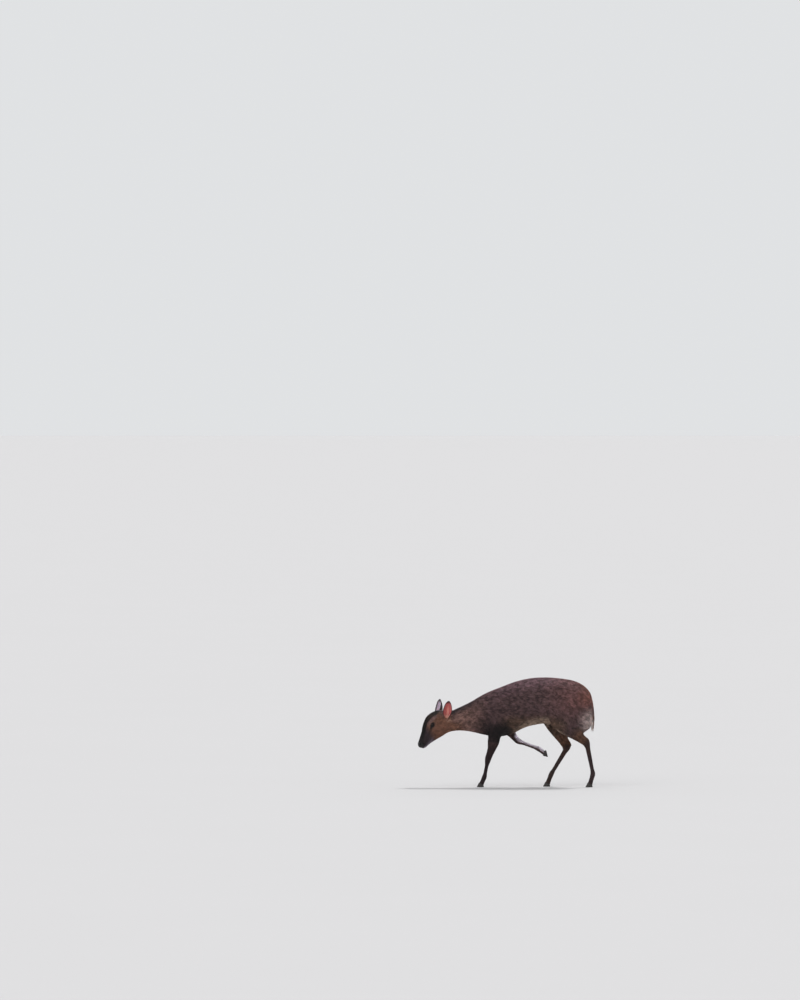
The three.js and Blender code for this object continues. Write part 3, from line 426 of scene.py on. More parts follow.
class Doe:
    """Where everything on her is, and how her coat lies there."""

    def __init__(self) -> None:
        """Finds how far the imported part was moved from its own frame, by the left eye."""
        self.head = Head()
        low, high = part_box("eye_left")
        self.shift = np.array((low + high) / 2) / MM - self.head.eye_at(Side.LEFT)
        self.runs = self.head_runs() + self.trunk_runs() + self.leg_runs()

    def to_own(self, points: Array) -> Array:
        """Metres in Blender as millimetres in the part's own frame."""
        return points / MM - self.shift

    def to_frame(self, points: Array) -> Array:
        """Millimetres in the part's own frame as metres in Blender."""
        return (points + self.shift) * MM

    def head_runs(self) -> list[Lie]:
        """The coat from the nose back over the skull."""
        line = [self.head.at(u, n, 0) for u, n in ((102, -20), (66, -20), (25, -18), (-30, -20), (-72, -24))]
        sizes = ((17, 3.2, 0.7, 1.05), (24, 5, 0.9, 1.2), (33, 7.5, 1.3, 1.45), (36, 11, 1.8, 1.7))
        return [Lie(a, b, *size, "coat_head") for a, b, size in zip(line[:-1], line[1:], sizes)]

    def trunk_runs(self) -> list[Lie]:
        """The coat of neck, barrel and rump."""
        sizes = ((45, 13, 2.2, 1.8), (50, 16, 2.8, 1.9), (60, 18, 3.2, 2.0))
        neck = zip(NECK_LINE[:-1], NECK_LINE[1:], sizes)
        runs = [Lie(a, b, *size, "coat_neck") for a, b, size in neck]
        names = ("coat_chest", "coat_chest", "coat_barrel", "coat_haunch")
        for k, (a, b) in enumerate(zip(BACK_LINE[:-1], BACK_LINE[1:])):
            runs.append(Lie(a, b, 92, 19 + k, 3.6, 2.15, names[k], (1, 0, -0.22)))
        runs.append(Lie(*RUMP_LINE, 50, 23, 3.6, 2.1, "coat_haunch", (0.25, 0, -1)))
        for k, (a, b) in enumerate(zip(TAIL_LINE[1:-1], TAIL_LINE[2:])):
            runs.append(Lie(a, b, 17, 25 + k, 1.5, 1.35, "coat_tail", (0.05, 0, -1), 14))
        return runs

    def leg_runs(self) -> list[Lie]:
        """The coat of the four legs, which gets shorter towards the hooves."""
        runs = []
        for name, leg in LEGS.items():
            fore = name.startswith("front")
            coat = "coat_forelegs" if fore else "coat_hindlegs"
            upper = "coat_chest" if fore else "coat_haunch"
            a, b, c, d = (leg.joint(k) for k in range(4))
            way = (0.45, 0, -1) if fore else (0.5, 0, -1)
            out = np.array([0, side_of(name) * 12.0, 0])
            runs.append(Lie(a + out, b + out, 34 if fore else 44, 18, 3, 2.1, upper, way))
            mid = mix(b, c, 0.45 if fore else 0.5)
            low = leg.foot(0, 0, 12)
            runs.append(Lie(mix(b, c, 0.12), mid, 25 if fore else 34, 13, 2.1, 1.9, coat))
            runs.append(Lie(mid, c, 17 if fore else 22, 9.5, 1.5, 1.6, coat))
            runs.append(Lie(c, mix(c, d, 0.5), 14, 7.5, 1.1, 1.35, coat))
            runs.append(Lie(mix(c, d, 0.5), d, 13, 7, 1.0, 1.3, coat))
            runs.append(Lie(d, low, 13, 8.5, 0.8, 1.2, coat))
        return runs

    def shares(self, points: Array) -> Array:
        """How much each run's coat counts at each point, as rows that add up to 1."""
        parts = []
        for run in self.runs:
            away = from_segment(points, run.start, run.end)[0] / run.reach
            parts.append(run.weight * np.exp(-2.2 * away**2) + 1e-7 / (0.1 + away**4))
        total = np.array(parts).T
        return total / total.sum(1, keepdims=True)

    def spread(self, shares: Array, name: str) -> Array:
        """A number of the runs, such as their length, blended by their shares."""
        return shares @ np.array([getattr(run, name) for run in self.runs], float)

    def flecks(self, points: Array, size: float) -> Array:
        """Soft patches of chance, about size across, as numbers from 0 to 1."""
        cell = np.floor(points / size)
        t = points / size - cell
        t = t * t * (3 - 2 * t)
        total = np.zeros(len(points))
        for corner in np.ndindex(2, 2, 2):
            code = np.sin((cell + corner) @ CELL_CODE) * CELL_STEP
            total += code % 1 * np.prod(np.where(np.array(corner), t, 1 - t), axis=1)
        return smooth(0.2, 0.8, total)

    def hair_way(self, points: Array, normals: Array, shares: Array) -> Array:
        """The way that the hair lies on the surface at each point.

        Args:
            points: Places on the skin.
            normals: The skin's normals there.
            shares: Each run's share there.

        Returns:
            Directions along the surface, one long.
        """
        way = shares @ np.array([run.direction for run in self.runs])
        for side in Side:
            times, away = self.head.eye_round(side, points)
            away = unit(flattened(away, normals))
            against = np.maximum(-np.sum(way * away, axis=1), 0)
            way += away * ((against + 0.45) * smooth(3.4, 1.5, times))[:, None]
        way = flattened(way, normals)
        weak = np.linalg.norm(way, axis=1) < 0.08
        way[weak] += np.array([0.15, 0, -0.1])
        return unit(flattened(way, normals))


DOE = Doe()
FLESH = ("torso", "neck", "head", *(f"leg_{name}" for name in LEGS))


def sheet(
    name: str, across: int, along: int, place: Callable[[Array, Array], Array], closed: bool
) -> Object:
    """A grid bent into shape.

    Args:
        name: The object's name.
        across: How many faces it has across.
        along: How many faces it has along.
        place: Gives places for shares across and along, both from 0 to 1.
        closed: Whether its two long edges meet and are merged.

    Returns:
        The shaped grid.
    """
    add = bpy.ops.mesh.primitive_grid_add
    obj = new_piece(add, name, x_subdivisions=across, y_subdivisions=along, size=1)
    start = read(obj.data.vertices, "co") + 0.5
    put(obj, place(start[:, 0], start[:, 1]))
    if closed:
        in_edit(obj, lambda: bpy.ops.mesh.remove_doubles(threshold=MERGE))
    return obj


def in_edit(obj: Object, step: Callable[[], Any]) -> Object:
    """Selects all of obj's mesh and takes one step in edit mode."""
    only(obj)
    bpy.ops.object.mode_set(mode="EDIT")
    bpy.ops.mesh.select_all(action="SELECT")
    step()
    bpy.ops.object.mode_set(mode="OBJECT")
    return obj


def facing_out(obj: Object, outwards: Array) -> Object:
    """Turns a sheet's faces over if they don't point along outwards, given for each vertex."""
    if np.sum(facings(obj) * outwards) < 0:
        in_edit(obj, bpy.ops.mesh.flip_normals)
    return obj


def spindle(
    name: str, line: Array, wide: Sequence[float], deep: Sequence[float], sides: int, rings: int
) -> Object:
    """A closed round bar along a line, shaped from a sphere.

    Args:
        name: The object's name.
        line: Places along its middle.
        wide: Half its width at each place, across her body.
        deep: Half its depth at each place.
        sides: How many sides it has.
        rings: How many rings run along it.

    Returns:
        The bar.
    """
    add = bpy.ops.mesh.primitive_uv_sphere_add
    obj = new_piece(add, name, segments=sides, ring_count=rings, radius=1)
    ball = unit(read(obj.data.vertices, "co"))
    t = np.arccos(np.clip(ball[:, 2], -1, 1)) / math.pi
    steps = 200
    fine = rounded(np.column_stack([line, wide, deep]), steps + 1)
    spot = np.round(t * steps).astype(int)
    row = fine[spot]
    ahead = unit(np.gradient(fine[:, :3], axis=0))[spot]
    angle = np.arctan2(ball[:, 1], ball[:, 0])
    side = unit(flattened(np.array([0, 1, 0]), ahead))
    out = np.cross(side, ahead)
    end = np.minimum(1, np.sin(t * math.pi) * 3.5)[:, None] ** 0.6
    width, depth = (np.cos(angle) * row[:, 3])[:, None], (np.sin(angle) * row[:, 4])[:, None]
    put(obj, row[:, :3] + end * (side * width + out * depth))
    return in_edit(obj, lambda: bpy.ops.mesh.normals_make_consistent(inside=False))


class Surface:
    """A mesh that things are set on: it finds places, facings and nearest points."""

    def __init__(self, obj: Object) -> None:
        """Reads obj's mesh as it is now."""
        obj.data.calc_loop_triangles()
        self.points = places(obj)
        self.normals = facings(obj)
        self.triangles = read(obj.data.loop_triangles, "vertices", np.int32)
        self.tree = BVHTree.FromPolygons(self.points.tolist(), self.triangles.tolist())

    def hit(self, start: Array, way: Array, most: float) -> float | None:
        """How far a ray goes before it meets the surface, or None past most."""
        found = self.tree.ray_cast(Vector(start), Vector(way), most)
        return found[3]

    def nearest(self, points: Array) -> tuple[Array, Array]:
        """The nearest place on the surface to each point, and which triangle it is on."""
        found = [self.tree.find_nearest(point) for point in points.tolist()]
        return np.array([f[0] for f in found]), np.array([f[2] for f in found])

    def scatter(self, spacing: Array, rng: np.random.Generator) -> tuple[Array, Array]:
        """Spreads roots over the surface.

        Args:
            spacing: How far apart roots are at each vertex. None grow where it is infinite.
            rng: The source of chance.

        Returns:
            The roots' places, and the normals there.
        """
        corners = self.points[self.triangles]
        edges = corners[:, 1] - corners[:, 0], corners[:, 2] - corners[:, 0]
        area = np.linalg.norm(np.cross(*edges), axis=1) / 2
        wanted = area / spacing[self.triangles].mean(1) ** 2
        total = np.cumsum(wanted)
        count = int(total[-1])
        jitter = np.arange(count) + rng.random(count)
        which = np.searchsorted(total, jitter * total[-1] / count * 0.999999)
        a, b = np.sqrt(rng.random(count))[:, None], rng.random(count)[:, None]
        shares = np.hstack([1 - a, a * (1 - b), a * b])
        rows = self.triangles[which]
        at = np.einsum("ij,ijk->ik", shares, self.points[rows])
        facing = unit(np.einsum("ij,ijk->ik", shares, self.normals[rows]))
        return at, facing


# Skin.
@dataclass
class Skin:
    """One skin over all her flesh, lying inside the solids by the coat's depth."""

    voxel: float = 3.6
    close_gap: float = 0.32
    socket: float = 13.2
    trunk_rounds: int = 45
    all_rounds: int = 2
    clear_of_eye: float = 0.7
    face_from: float = -62
    muzzle_from: float = 70
    eye_reach: float = 22
    tail_wide: tuple[float, ...] = (13, 14, 13.5, 12.5, 10.5, 7)
    tail_deep: tuple[float, ...] = (9, 8.5, 6.5, 5.5, 4.5, 3)

    def build(self) -> Object:
        """Makes the skin, from the solids to its finest folds."""
        core = spindle("core", TAIL_LINE, self.tail_wide, self.tail_deep, 24, 40)
        sockets = [self.filled_socket(side) for side in Side]
        skin = joined([self.solid(name) for name in FLESH] + [core, *sockets], "skin")
        modify(skin, "REMESH", mode="VOXEL", voxel_size=self.voxel * MM)
        self.settle(skin)
        self.sink(skin)
        self.refine(skin)
        FaceFolds().carve(skin)
        skin.data.shade_smooth()
        return skin

    def solid(self, name: str) -> Object:
        """A copy of a solid that reaches just past the gap to its neighbour."""
        copy = solid_copy(name, f"{name}_flesh")
        return modify(copy, "DISPLACE", strength=self.close_gap * MM, mid_level=0)

    def filled_socket(self, side: Side) -> Object:
        """A ball that closes an eye's socket, for the lids to lie on."""
        add = bpy.ops.mesh.primitive_uv_sphere_add
        ball = new_piece(add, "socket", segments=40, ring_count=24, radius=self.socket * MM)
        middle = DOE.to_frame(DOE.head.eye_at(side))
        in_edit(ball, lambda: bpy.ops.transform.translate(value=tuple(middle)))
        return ball

    def settle(self, skin: Object) -> None:
        """Rounds off the solids' facets, most on the trunk."""
        shares = DOE.shares(places(skin))
        trunk = [run.length > 15 for run in DOE.runs]
        soft = weigh(skin, "trunk", smooth(0.3, 0.95, shares[:, trunk].sum(1)))
        modify(skin, "SMOOTH", factor=0.5, iterations=self.trunk_rounds, vertex_group=soft)
        modify(skin, "SMOOTH", factor=0.5, iterations=self.all_rounds)
        skin.vertex_groups.clear()

    def sink(self, skin: Object) -> None:
        """Draws the skin in by the coat's depth."""
        points = places(skin)
        depth = DOE.spread(DOE.shares(points), "depth")
        for leg in LEGS.values():
            near_hoof = np.linalg.norm(points - leg.foot(0, 0, 8), axis=1)
            depth *= 0.3 + 0.7 * smooth(14, 26, near_hoof)
        points -= facings(skin) * depth[:, None]
        for side in Side:
            points = self.clear_ear(points, Ear(side))
            eye = DOE.head.eye_at(side)
            reach = np.linalg.norm(points - eye, axis=1)
            reach = np.maximum(reach, DOE.head.eye_radius + self.clear_of_eye)
            points = eye + unit(points - eye) * reach[:, None]
        put(skin, points)

    def clear_ear(self, points: Array, ear: Ear) -> Array:
        """Lowers what would stand up inside an ear, down to its root."""
        along = ear.local(points)[:, 2]
        low = np.where(along > 1, 1 + 0.12 * (along - 1), along)
        return points + (ear.hollow(points) * (low - along))[:, None] * ear.axes[2]

    def refine(self, skin: Object) -> None:
        """Splits the faces of the head once, and those of eyes and muzzle twice."""
        self.split(skin, lambda at: DOE.head.local(at)[:, 0] > self.face_from)
        self.split(skin, self.fine_place)
        weights = smooth(-60, -45, DOE.head.local(places(skin))[:, 0])
        modify(skin, "SMOOTH", factor=0.5, iterations=3, vertex_group=weigh(skin, "head", weights))
        skin.vertex_groups.clear()

    def fine_place(self, at: Array) -> Array:
        """Where the face has its finest forms: the muzzle, and round each eye."""
        fine = DOE.head.local(at)[:, 0] > self.muzzle_from
        for side in Side:
            fine |= np.linalg.norm(at - DOE.head.eye_at(side), axis=1) < self.eye_reach
        return fine

    def split(self, skin: Object, chosen: Callable[[Array], Array]) -> None:
        """Splits the faces whose middles chosen picks."""
        only(skin)
        mesh = skin.data
        middles = DOE.to_own(read(mesh.polygons, "center"))
        mesh.vertices.foreach_set("select", np.zeros(len(mesh.vertices), bool))
        mesh.edges.foreach_set("select", np.zeros(len(mesh.edges), bool))
        mesh.polygons.foreach_set("select", chosen(middles))
        bpy.context.tool_settings.mesh_select_mode = (False, False, True)
        bpy.ops.object.mode_set(mode="EDIT")
        bpy.ops.mesh.subdivide(number_cuts=1)
        bpy.ops.object.mode_set(mode="OBJECT")


@dataclass
class FaceFolds:
    """Mouth line, nostrils, glands and folds of the face, pressed into the skin."""

    mouth_corner: float = 50
    mouth_chin: float = 91
    mouth_height: float = -30
    mouth_dip: float = 2.5
    nostril: tuple[float, float] = (102, -11)
    nostril_steps: tuple[tuple[float, ...], ...] = ((8, 0, 0.75, 0.66), (10, 1, 0.85, 0.5), (13, 4, 0.9, 0.3))
    gland: tuple[float, ...] = (14, 22, 31, 38)
    forehead: Pairs = ((2, 5), (-16, 8), (-34, 14), (-46, 21))
    cheek: Pairs = ((34, -26), (14, -22), (-8, -24), (-26, -34))
    jaw: Pairs = ((44, -40), (20, -50), (-6, -58))
    brow: Pairs = ((18, 0), (2, 0), (-16, 0))
    outside: float = 90
    missed: float = 60

    def carve(self, skin: Object) -> None:
        """Presses every fold into the skin."""
        face = Surface(skin)
        points, normals = face.points.copy(), face.normals
        MARKS.mouth = self.mouth(face)
        folds = [(MARKS.mouth, 2.3, 1.7), (self.mouth(face, -5.5), 3.6, -0.7)]
        for side in Side:
            folds += self.side_folds(face, side)
        for path, reach, depth in folds:
            press = np.maximum(1 - (from_path(points, path) / reach) ** 2, 0) ** 2
            points -= normals * (press * depth)[:, None]
        put(skin, points)

    def side_folds(self, face: Surface, side: Side) -> list[tuple[Array, float, float]]:
        """The folds of one side.

        Args:
            face: The face that they lie on.
            side: Which side.

        Returns:
            Each one's line, how far it reaches and how deep it is pressed.
        """
        gland = self.line(face, [(u, 3 - 4.2 * k) for k, u in enumerate(self.gland)], side)
        forehead = [self.top(face, u, side * l) for u, l in self.forehead]
        return [
            (self.nostril_path(face, side), 2.9, 3.6),
            (self.nostril_path(face, side, 3.4), 2.6, -0.9),
            (gland, 2.7, 1.9),
            (gland + DOE.head.way(0.3, -1, 0) * 3.8, 3.2, -0.8),
            (np.array(forehead), 2.2, 0.7),
            (self.line(face, self.cheek, side), 9, -1.1),
            (self.line(face, self.jaw, side), 7, 0.8),
            (self.line(face, self.brow, side * 0.8, 0.62), 7, -0.9),
        ]

    def met(self, face: Surface, start: Array, way: Array) -> Array:
        """Where a line from within the head comes out of the face."""
        far = face.hit(start + way * self.outside, -way, self.outside)
        return start + way * (self.outside - (far or self.missed))

    def spot(
        self, face: Surface, u: float, n: float, across: float, up: float = 0, ahead: float = 0
    ) -> Array:
        """A place on the face's surface, met by a line from the head's middle."""
        return self.met(face, DOE.head.at(u, n, 0), DOE.head.way(ahead, up, across))

    def line(
        self, face: Surface, spots: Pairs, across: float, up: float = 0
    ) -> Array:
        """A line of such places, given by u and n."""
        return np.array([self.spot(face, u, n, across, up) for u, n in spots])

    def top(self, face: Surface, u: float, l: float) -> Array:
        """A place on the forehead, straight out from the head's middle plane."""
        return self.met(face, DOE.head.at(u, -20, l), DOE.head.way(0, 1, 0))

    def mouth(self, face: Surface, lower: float = 0) -> Array:
        """The line between her lips, from one corner round the chin to the other."""
        shares = np.linspace(0, 1, 9)
        height = self.mouth_height - self.mouth_dip * np.sin(math.pi * shares) - 1.5 * (1 - shares) + lower
        us = mix(self.mouth_corner, self.mouth_chin, shares)
        left = [self.spot(face, u, n, -1) for u, n in zip(us, height)]
        turns = np.radians([-60, -30, 0, 30, 60])
        chin = self.mouth_chin
        front = [self.spot(face, chin, height[-1], math.sin(a), ahead=math.cos(a)) for a in turns]
        right = [self.spot(face, u, n, 1) for u, n in zip(us[::-1], height[::-1])]
        return np.array(left + front + right)

    def nostril_path(self, face: Surface, side: Side, higher: float = 0) -> Array:
        """A nostril's slit, from its round front back and up."""
        u, n = self.nostril
        spots = []
        for back, up, out, ahead in self.nostril_steps:
            spots.append(self.spot(face, u - back, n + up + higher, side * out, ahead=ahead))
        return np.array(spots)


@dataclass
class Eyelids:
    """The rolled rim and the two lids round one eye, from the ball out to the face."""

    side: Side
    columns: int = 96
    rows: int = 26
    spreads: tuple[float, ...] = (0.86, 0.96, 1.0, 1.04, 1.1, 1.9, 2.05)
    rims: tuple[float, ...] = (-1.3, 0.1, 0.5, 0.75, 0.8, 0.9, 0.9)
    crease: float = 0.5
    cover: float = 1.3
    outside: float = 45
    deepest: float = 36
    missed: float = 30
    rounds: int = 6

    def build(self, face: Surface) -> Object:
        """Makes the lids over the skin that face holds."""
        name = f"lids_{self.side.label}"
        lids = sheet(name, self.columns, self.rows, lambda a, b: self.place(face, a, b), True)
        return facing_out(lids, places(lids) - DOE.head.eye_at(self.side))

    @property
    def turns(self) -> Array:
        """The turns round the opening, with the first one again at the end."""
        return np.linspace(0, 2 * math.pi, self.columns + 1)

    def ring(self, face: Surface) -> Array:
        """How far the face is from the eye's middle at each turn, along the lids' outer edge."""
        eye = DOE.head.eye_at(self.side)
        ways = DOE.head.lid_way(self.side, self.turns[:-1], np.full(self.columns, self.spreads[-2]))
        far = [face.hit(eye + way * self.outside, -way, self.deepest) or self.missed for way in ways]
        radius = self.outside - np.array(far)
        for _ in range(self.rounds):
            radius = (np.roll(radius, 1) + 2 * radius + np.roll(radius, -1)) / 4
        return radius

    def radius(self, ring: Array, turn: Array, spread: Array) -> Array:
        """How far the lids are from the eye's middle, round it and out from its opening."""
        outer = np.interp(turn % (2 * math.pi), self.turns, np.append(ring, ring[0]))
        rim = np.interp(spread, self.spreads, self.rims) + DOE.head.eye_radius
        radius = mix(rim, outer + 0.15, smooth(1.12, self.spreads[-2], spread))
        above = smooth(-0.2, 0.5, np.sin(turn))
        for place, depth in ((1.27, 1.0), (1.42, -0.3), (1.56, 0.4)):
            radius -= self.crease * depth * np.exp(-(((spread - place) / 0.06) ** 2)) * mix(0.5, 1.0, above)
        return radius - 1.5 * smooth(self.spreads[-2], self.spreads[-1], spread)

    def place(self, face: Surface, across: Array, along: Array) -> Array:
        """Places on the lids for shares round the eye and out from it."""
        spread = np.interp(along, [0, 0.08, 0.16, 0.23, 0.31, 0.92, 1], self.spreads)
        turn = across * 2 * math.pi
        ways = DOE.head.lid_way(self.side, turn, spread)
        return DOE.head.eye_at(self.side) + ways * self.radius(self.ring(face), turn, spread)[:, None]

    def clear(self, skin: Object) -> None:
        """Draws the skin in under the lids, where the eye's socket was."""
        face = Surface(skin)
        eye = DOE.head.eye_at(self.side)
        off = face.points - eye
        reach = np.linalg.norm(off, axis=1)
        spread, turn = DOE.head.lid_turn(self.side, face.points)
        most = self.radius(self.ring(face), turn, np.maximum(spread, 1.0)) - self.cover
        own = smooth(1.92, 1.8, spread) * (reach > 8)
        pressed = np.minimum(reach, np.maximum(most, 9.0))
        put(skin, eye + unit(off) * mix(reach, pressed, own)[:, None])


# Her colours.
@dataclass(frozen=True)
class Palette:
    """The colours of coat, skin and eye, as 0xRRGGBB."""

    body: int = 0x533F40
    # Painted light: the back's upward-facing side, drawn lighter as lit from above.
    spine: int = 0x71565D
    nape: int = 0x2E2325
    neck: int = 0x7B5E57
    throat: int = 0x7E553F
    flank: int = 0x5B4736
    belly: int = 0xA08A7A
    shoulder: int = 0x120D0F
    rump: int = 0x724F4D
    croup: int = 0x805246
    seat: int = 0xCCB9B5
    shank: int = 0x523A36
    hock: int = 0x5E4234
    foot: int = 0x2A1E20
    # A painted highlight: the lifted foreleg's upper side as lit from above and behind.
    sheen_leg: int = 0xCCC3CF
    face: int = 0x3C3034
    cheek: int = 0x7C5747
    stripe: int = 0x0E0B0C
    muzzle: int = 0x2B2225
    chin: int = 0x796C77
    nose: int = 0x0C0A0B
    brow: int = 0x765F5F
    tail: int = 0x6E4B3E
    white: int = 0xDDD2CC
    ear_back: int = 0x4C3B3C
    # The ears' own dark edge, and painted shade just inside the right ear's rim.
    ear_rim: int = 0x241B20
    # The left ear's hollow: its pink skin with painted light shining through it from behind.
    ear_inside: int = 0xB4605F
    ear_glow: int = 0xE6B49C
    ear_pale: int = 0xBEB1C1
    lash: int = 0x0D0A0A


class Markings:
    """Where each colour lies on her, for skin and coat alike."""

    def __init__(self) -> None:
        """Takes the usual palette."""
        self.palette = Palette()
        self.mouth: Array | None = None

    def in_head(self, points: Array) -> Array:
        """A mask of the head."""
        away = from_segment(points, DOE.head.at(100, -20, 0), DOE.head.at(-58, -24, 0))[0]
        return 1 - smooth(52, 78, away)

    def tint(self, points: Array, normals: Array) -> Array:
        """The coat's colour at each point, as linear rows of red, green and blue."""
        tint = np.tile(linear(self.palette.body), (len(points), 1))
        for name, mask in self.layers(points, normals):
            tint = mix(tint, linear(getattr(self.palette, name)), np.clip(mask, 0, 1)[:, None])
        return tint

    def layers(self, points: Array, normals: Array) -> Layers:
        """Colours by name with their masks, from the lowest layer up."""
        yield from self.trunk_layers(points, normals)
        yield from self.leg_layers(points, normals)
        yield from self.tail_layers(points, normals)
        yield from self.head_layers(points, normals)

    def trunk_layers(self, points: Array, normals: Array) -> Layers:
        """Back, flanks, belly, neck and rump."""
        x, _, z = points.T
        up = normals[:, 2]
        # Painted light: skin that faces up along the back is drawn lighter, as lit from above.
        yield "spine", 0.85 * smooth(0.2, 0.85, up) * smooth(-150, -10, x)
        yield "neck", smooth(-70, -215, x) * smooth(0.9, 0.1, up)
        yield "nape", 0.8 * smooth(0.3, 0.85, up) * smooth(-110, -190, x)
        yield "throat", 0.7 * smooth(0.1, -0.65, up) * smooth(-175, -245, x)
        yield "flank", 0.7 * smooth(345, 292, z) * smooth(-60, 10, x) * smooth(290, 215, x)
        yield "belly", 0.85 * smooth(-0.45, -0.9, up) * smooth(-20, 70, x) * smooth(215, 260, z)
        shoulder = from_segment(points, np.array([-72.0, 0, 290]), np.array([-58.0, 0, 235]))[0]
        yield "shoulder", 0.92 * (1 - smooth(40, 94, shoulder)) * smooth(338, 282, z)
        yield "rump", 0.85 * smooth(110, 330, x) * smooth(290, 400, z)
        yield "croup", 0.75 * smooth(285, 372, x) * smooth(345, 420, z)
        seat = smooth(300, 378, x) * smooth(376, 306, z) * smooth(205, 262, z)
        yield "seat", 0.85 * seat * smooth(-0.7, 0.35, normals[:, 0])

    def leg_layers(self, points: Array, normals: Array) -> Layers:
        """Legs, dark towards the hooves, with painted highlight and shade on the lifted foreleg."""
        for name, leg in LEGS.items():
            knee, fetlock, sole = leg.joint(2), leg.joint(3), leg.joint(-1)
            start = mix(leg.joint(1), knee, 0.3)
            away, along = from_segment(points, start, knee)
            near = 1 - smooth(30, 48, away)
            fore = name.startswith("front")
            yield "shank" if fore else "hock", near * smooth(0.0, 0.5, along)
            low = np.minimum(from_segment(points, knee, fetlock)[0], from_segment(points, fetlock, sole)[0])
            yield "foot", (1 - smooth(17, 30, low)) * (0.95 if fore else 0.7)
            if name == "front_left":
                yield "foot", 0.85 * near * smooth(0.0, 0.45, along)
                yield "shoulder", 0.9 * (1 - smooth(28, 62, np.linalg.norm(points - leg.joint(1), axis=1)))
            if name == "front_right":
                lifted = np.minimum((1 - smooth(20, 32, low)) + near * smooth(0.2, 0.6, along), 1)
                # facing is how far the skin turns towards the light above and behind.
                facing = normals @ np.array([0.6, 0, 0.8])
                yield "shank", lifted
                # Painted shade on the side turned away from that light, over the leg's own darker front.
                yield "foot", 0.85 * lifted * smooth(-0.2, -0.7, facing)
                # Painted highlight on the side turned towards that light.
                yield "sheen_leg", 0.97 * lifted * smooth(-0.2, 0.3, facing)

    def tail_layers(self, points: Array, normals: Array) -> Layers:
        """The tail, ginger above and white below and along its edges."""
        near = 1 - smooth(12, 18, from_path(points, TAIL_LINE[1:]))
        yield "tail", near
        side = smooth(0.5, 0.85, np.abs(normals[:, 1]))
        below = smooth(0.1, -0.3, normals[:, 0])
        yield "white", near * np.maximum(side, below) * smooth(400, 375, points[:, 2])
        yield "white", near * smooth(285, 266, points[:, 2])

    def head_layers(self, points: Array, normals: Array) -> Layers:
        """The face: ginger cheeks, a black kite up the forehead, dark muzzle and pale chin."""
        head = self.in_head(points)
        u, n, l = DOE.head.local(points).T
        fn = normals @ DOE.head.axes[1]
        yield "face", head * smooth(-30, 30, u)
        yield "cheek", head * smooth(-76, -40, u) * smooth(46, 8, u + 0.35 * n)
        yield "throat", 0.7 * head * smooth(-0.2, -0.8, fn) * smooth(-50, -10, u) * smooth(50, 20, u)
        wide = np.interp(u, [-64, -44, -20, 10, 45, 75, 98], [15, 25, 21, 17, 15.5, 16, 20])
        kite = smooth(3.5, -2.5, np.abs(l) - wide) * smooth(-0.05, 0.3, fn) * smooth(-76, -64, u)
        for side in Side:
            brow = np.array([DOE.head.at(u, 23, side * l) for u, l in ((6, 21), (-14, 25), (-34, 29))])
            yield "brow", 0.7 * head * (1 - smooth(5, 14, from_path(points, brow)))
        yield "stripe", 0.96 * head * kite
        yield "muzzle", 0.85 * head * smooth(56, 90, u)
        yield "chin", 0.9 * head * smooth(36, 62, u) * smooth(-26, -34, n)
        crown = np.linalg.norm(points - np.array([-306.0, -14, 336]), axis=1)
        yield "brow", 0.75 * (1 - smooth(6, 17, crown))
        yield "ear_pale", 0.6 * Ear(Side.RIGHT).nearness(points)
        yield "ear_glow", 0.45 * Ear(Side.LEFT).nearness(points)
        yield "stripe", 0.9 * head * smooth(78, 96, u) * smooth(-30, -22, n)
        for side in Side:
            spread = DOE.head.lid_turn(side, points)[0]
            yield "stripe", 0.9 * smooth(1.95, 1.35, spread)
            yield "lash", 0.97 * smooth(1.2, 1.1, spread)
            gland = ((12, 3, 29), (22, -1, 26), (31, -5, 23), (39, -9, 21))
            line = np.array([DOE.head.at(u, n, side * l) for u, n, l in gland])
            yield "stripe", 0.55 * (1 - smooth(2.2, 8, from_path(points, line)))
            yield "stripe", 0.8 * (1 - smooth(3, 8, np.linalg.norm(points - line[0], axis=1)))
        if self.mouth is not None:
            yield "lash", 0.9 * smooth(3.2, 1.2, from_path(points, self.mouth))
        yield "nose", self.nose_pad(points, normals)

    def nose_pad(self, points: Array, normals: Array) -> Array:
        """The bare wet pad round her nostrils."""
        u, n, _ = DOE.head.local(points).T
        front = normals @ DOE.head.axes[0]
        return self.in_head(points) * smooth(92, 96.5, u + 3 * front) * smooth(-27.5, -24, n)

    def bare(self, points: Array, normals: Array) -> Array:
        """A mask of the places where no hair grows: nose, eye sockets and nostrils."""
        bare = self.nose_pad(points, normals)
        for side in Side:
            bare = np.maximum(bare, smooth(1.24, 1.18, DOE.head.lid_turn(side, points)[0]))
            bare = np.maximum(bare, Ear(side).hollow(points))
        if self.mouth is not None:
            bare = np.maximum(bare, smooth(1.7, 1.1, from_path(points, self.mouth)))
        return bare


MARKS = Markings()


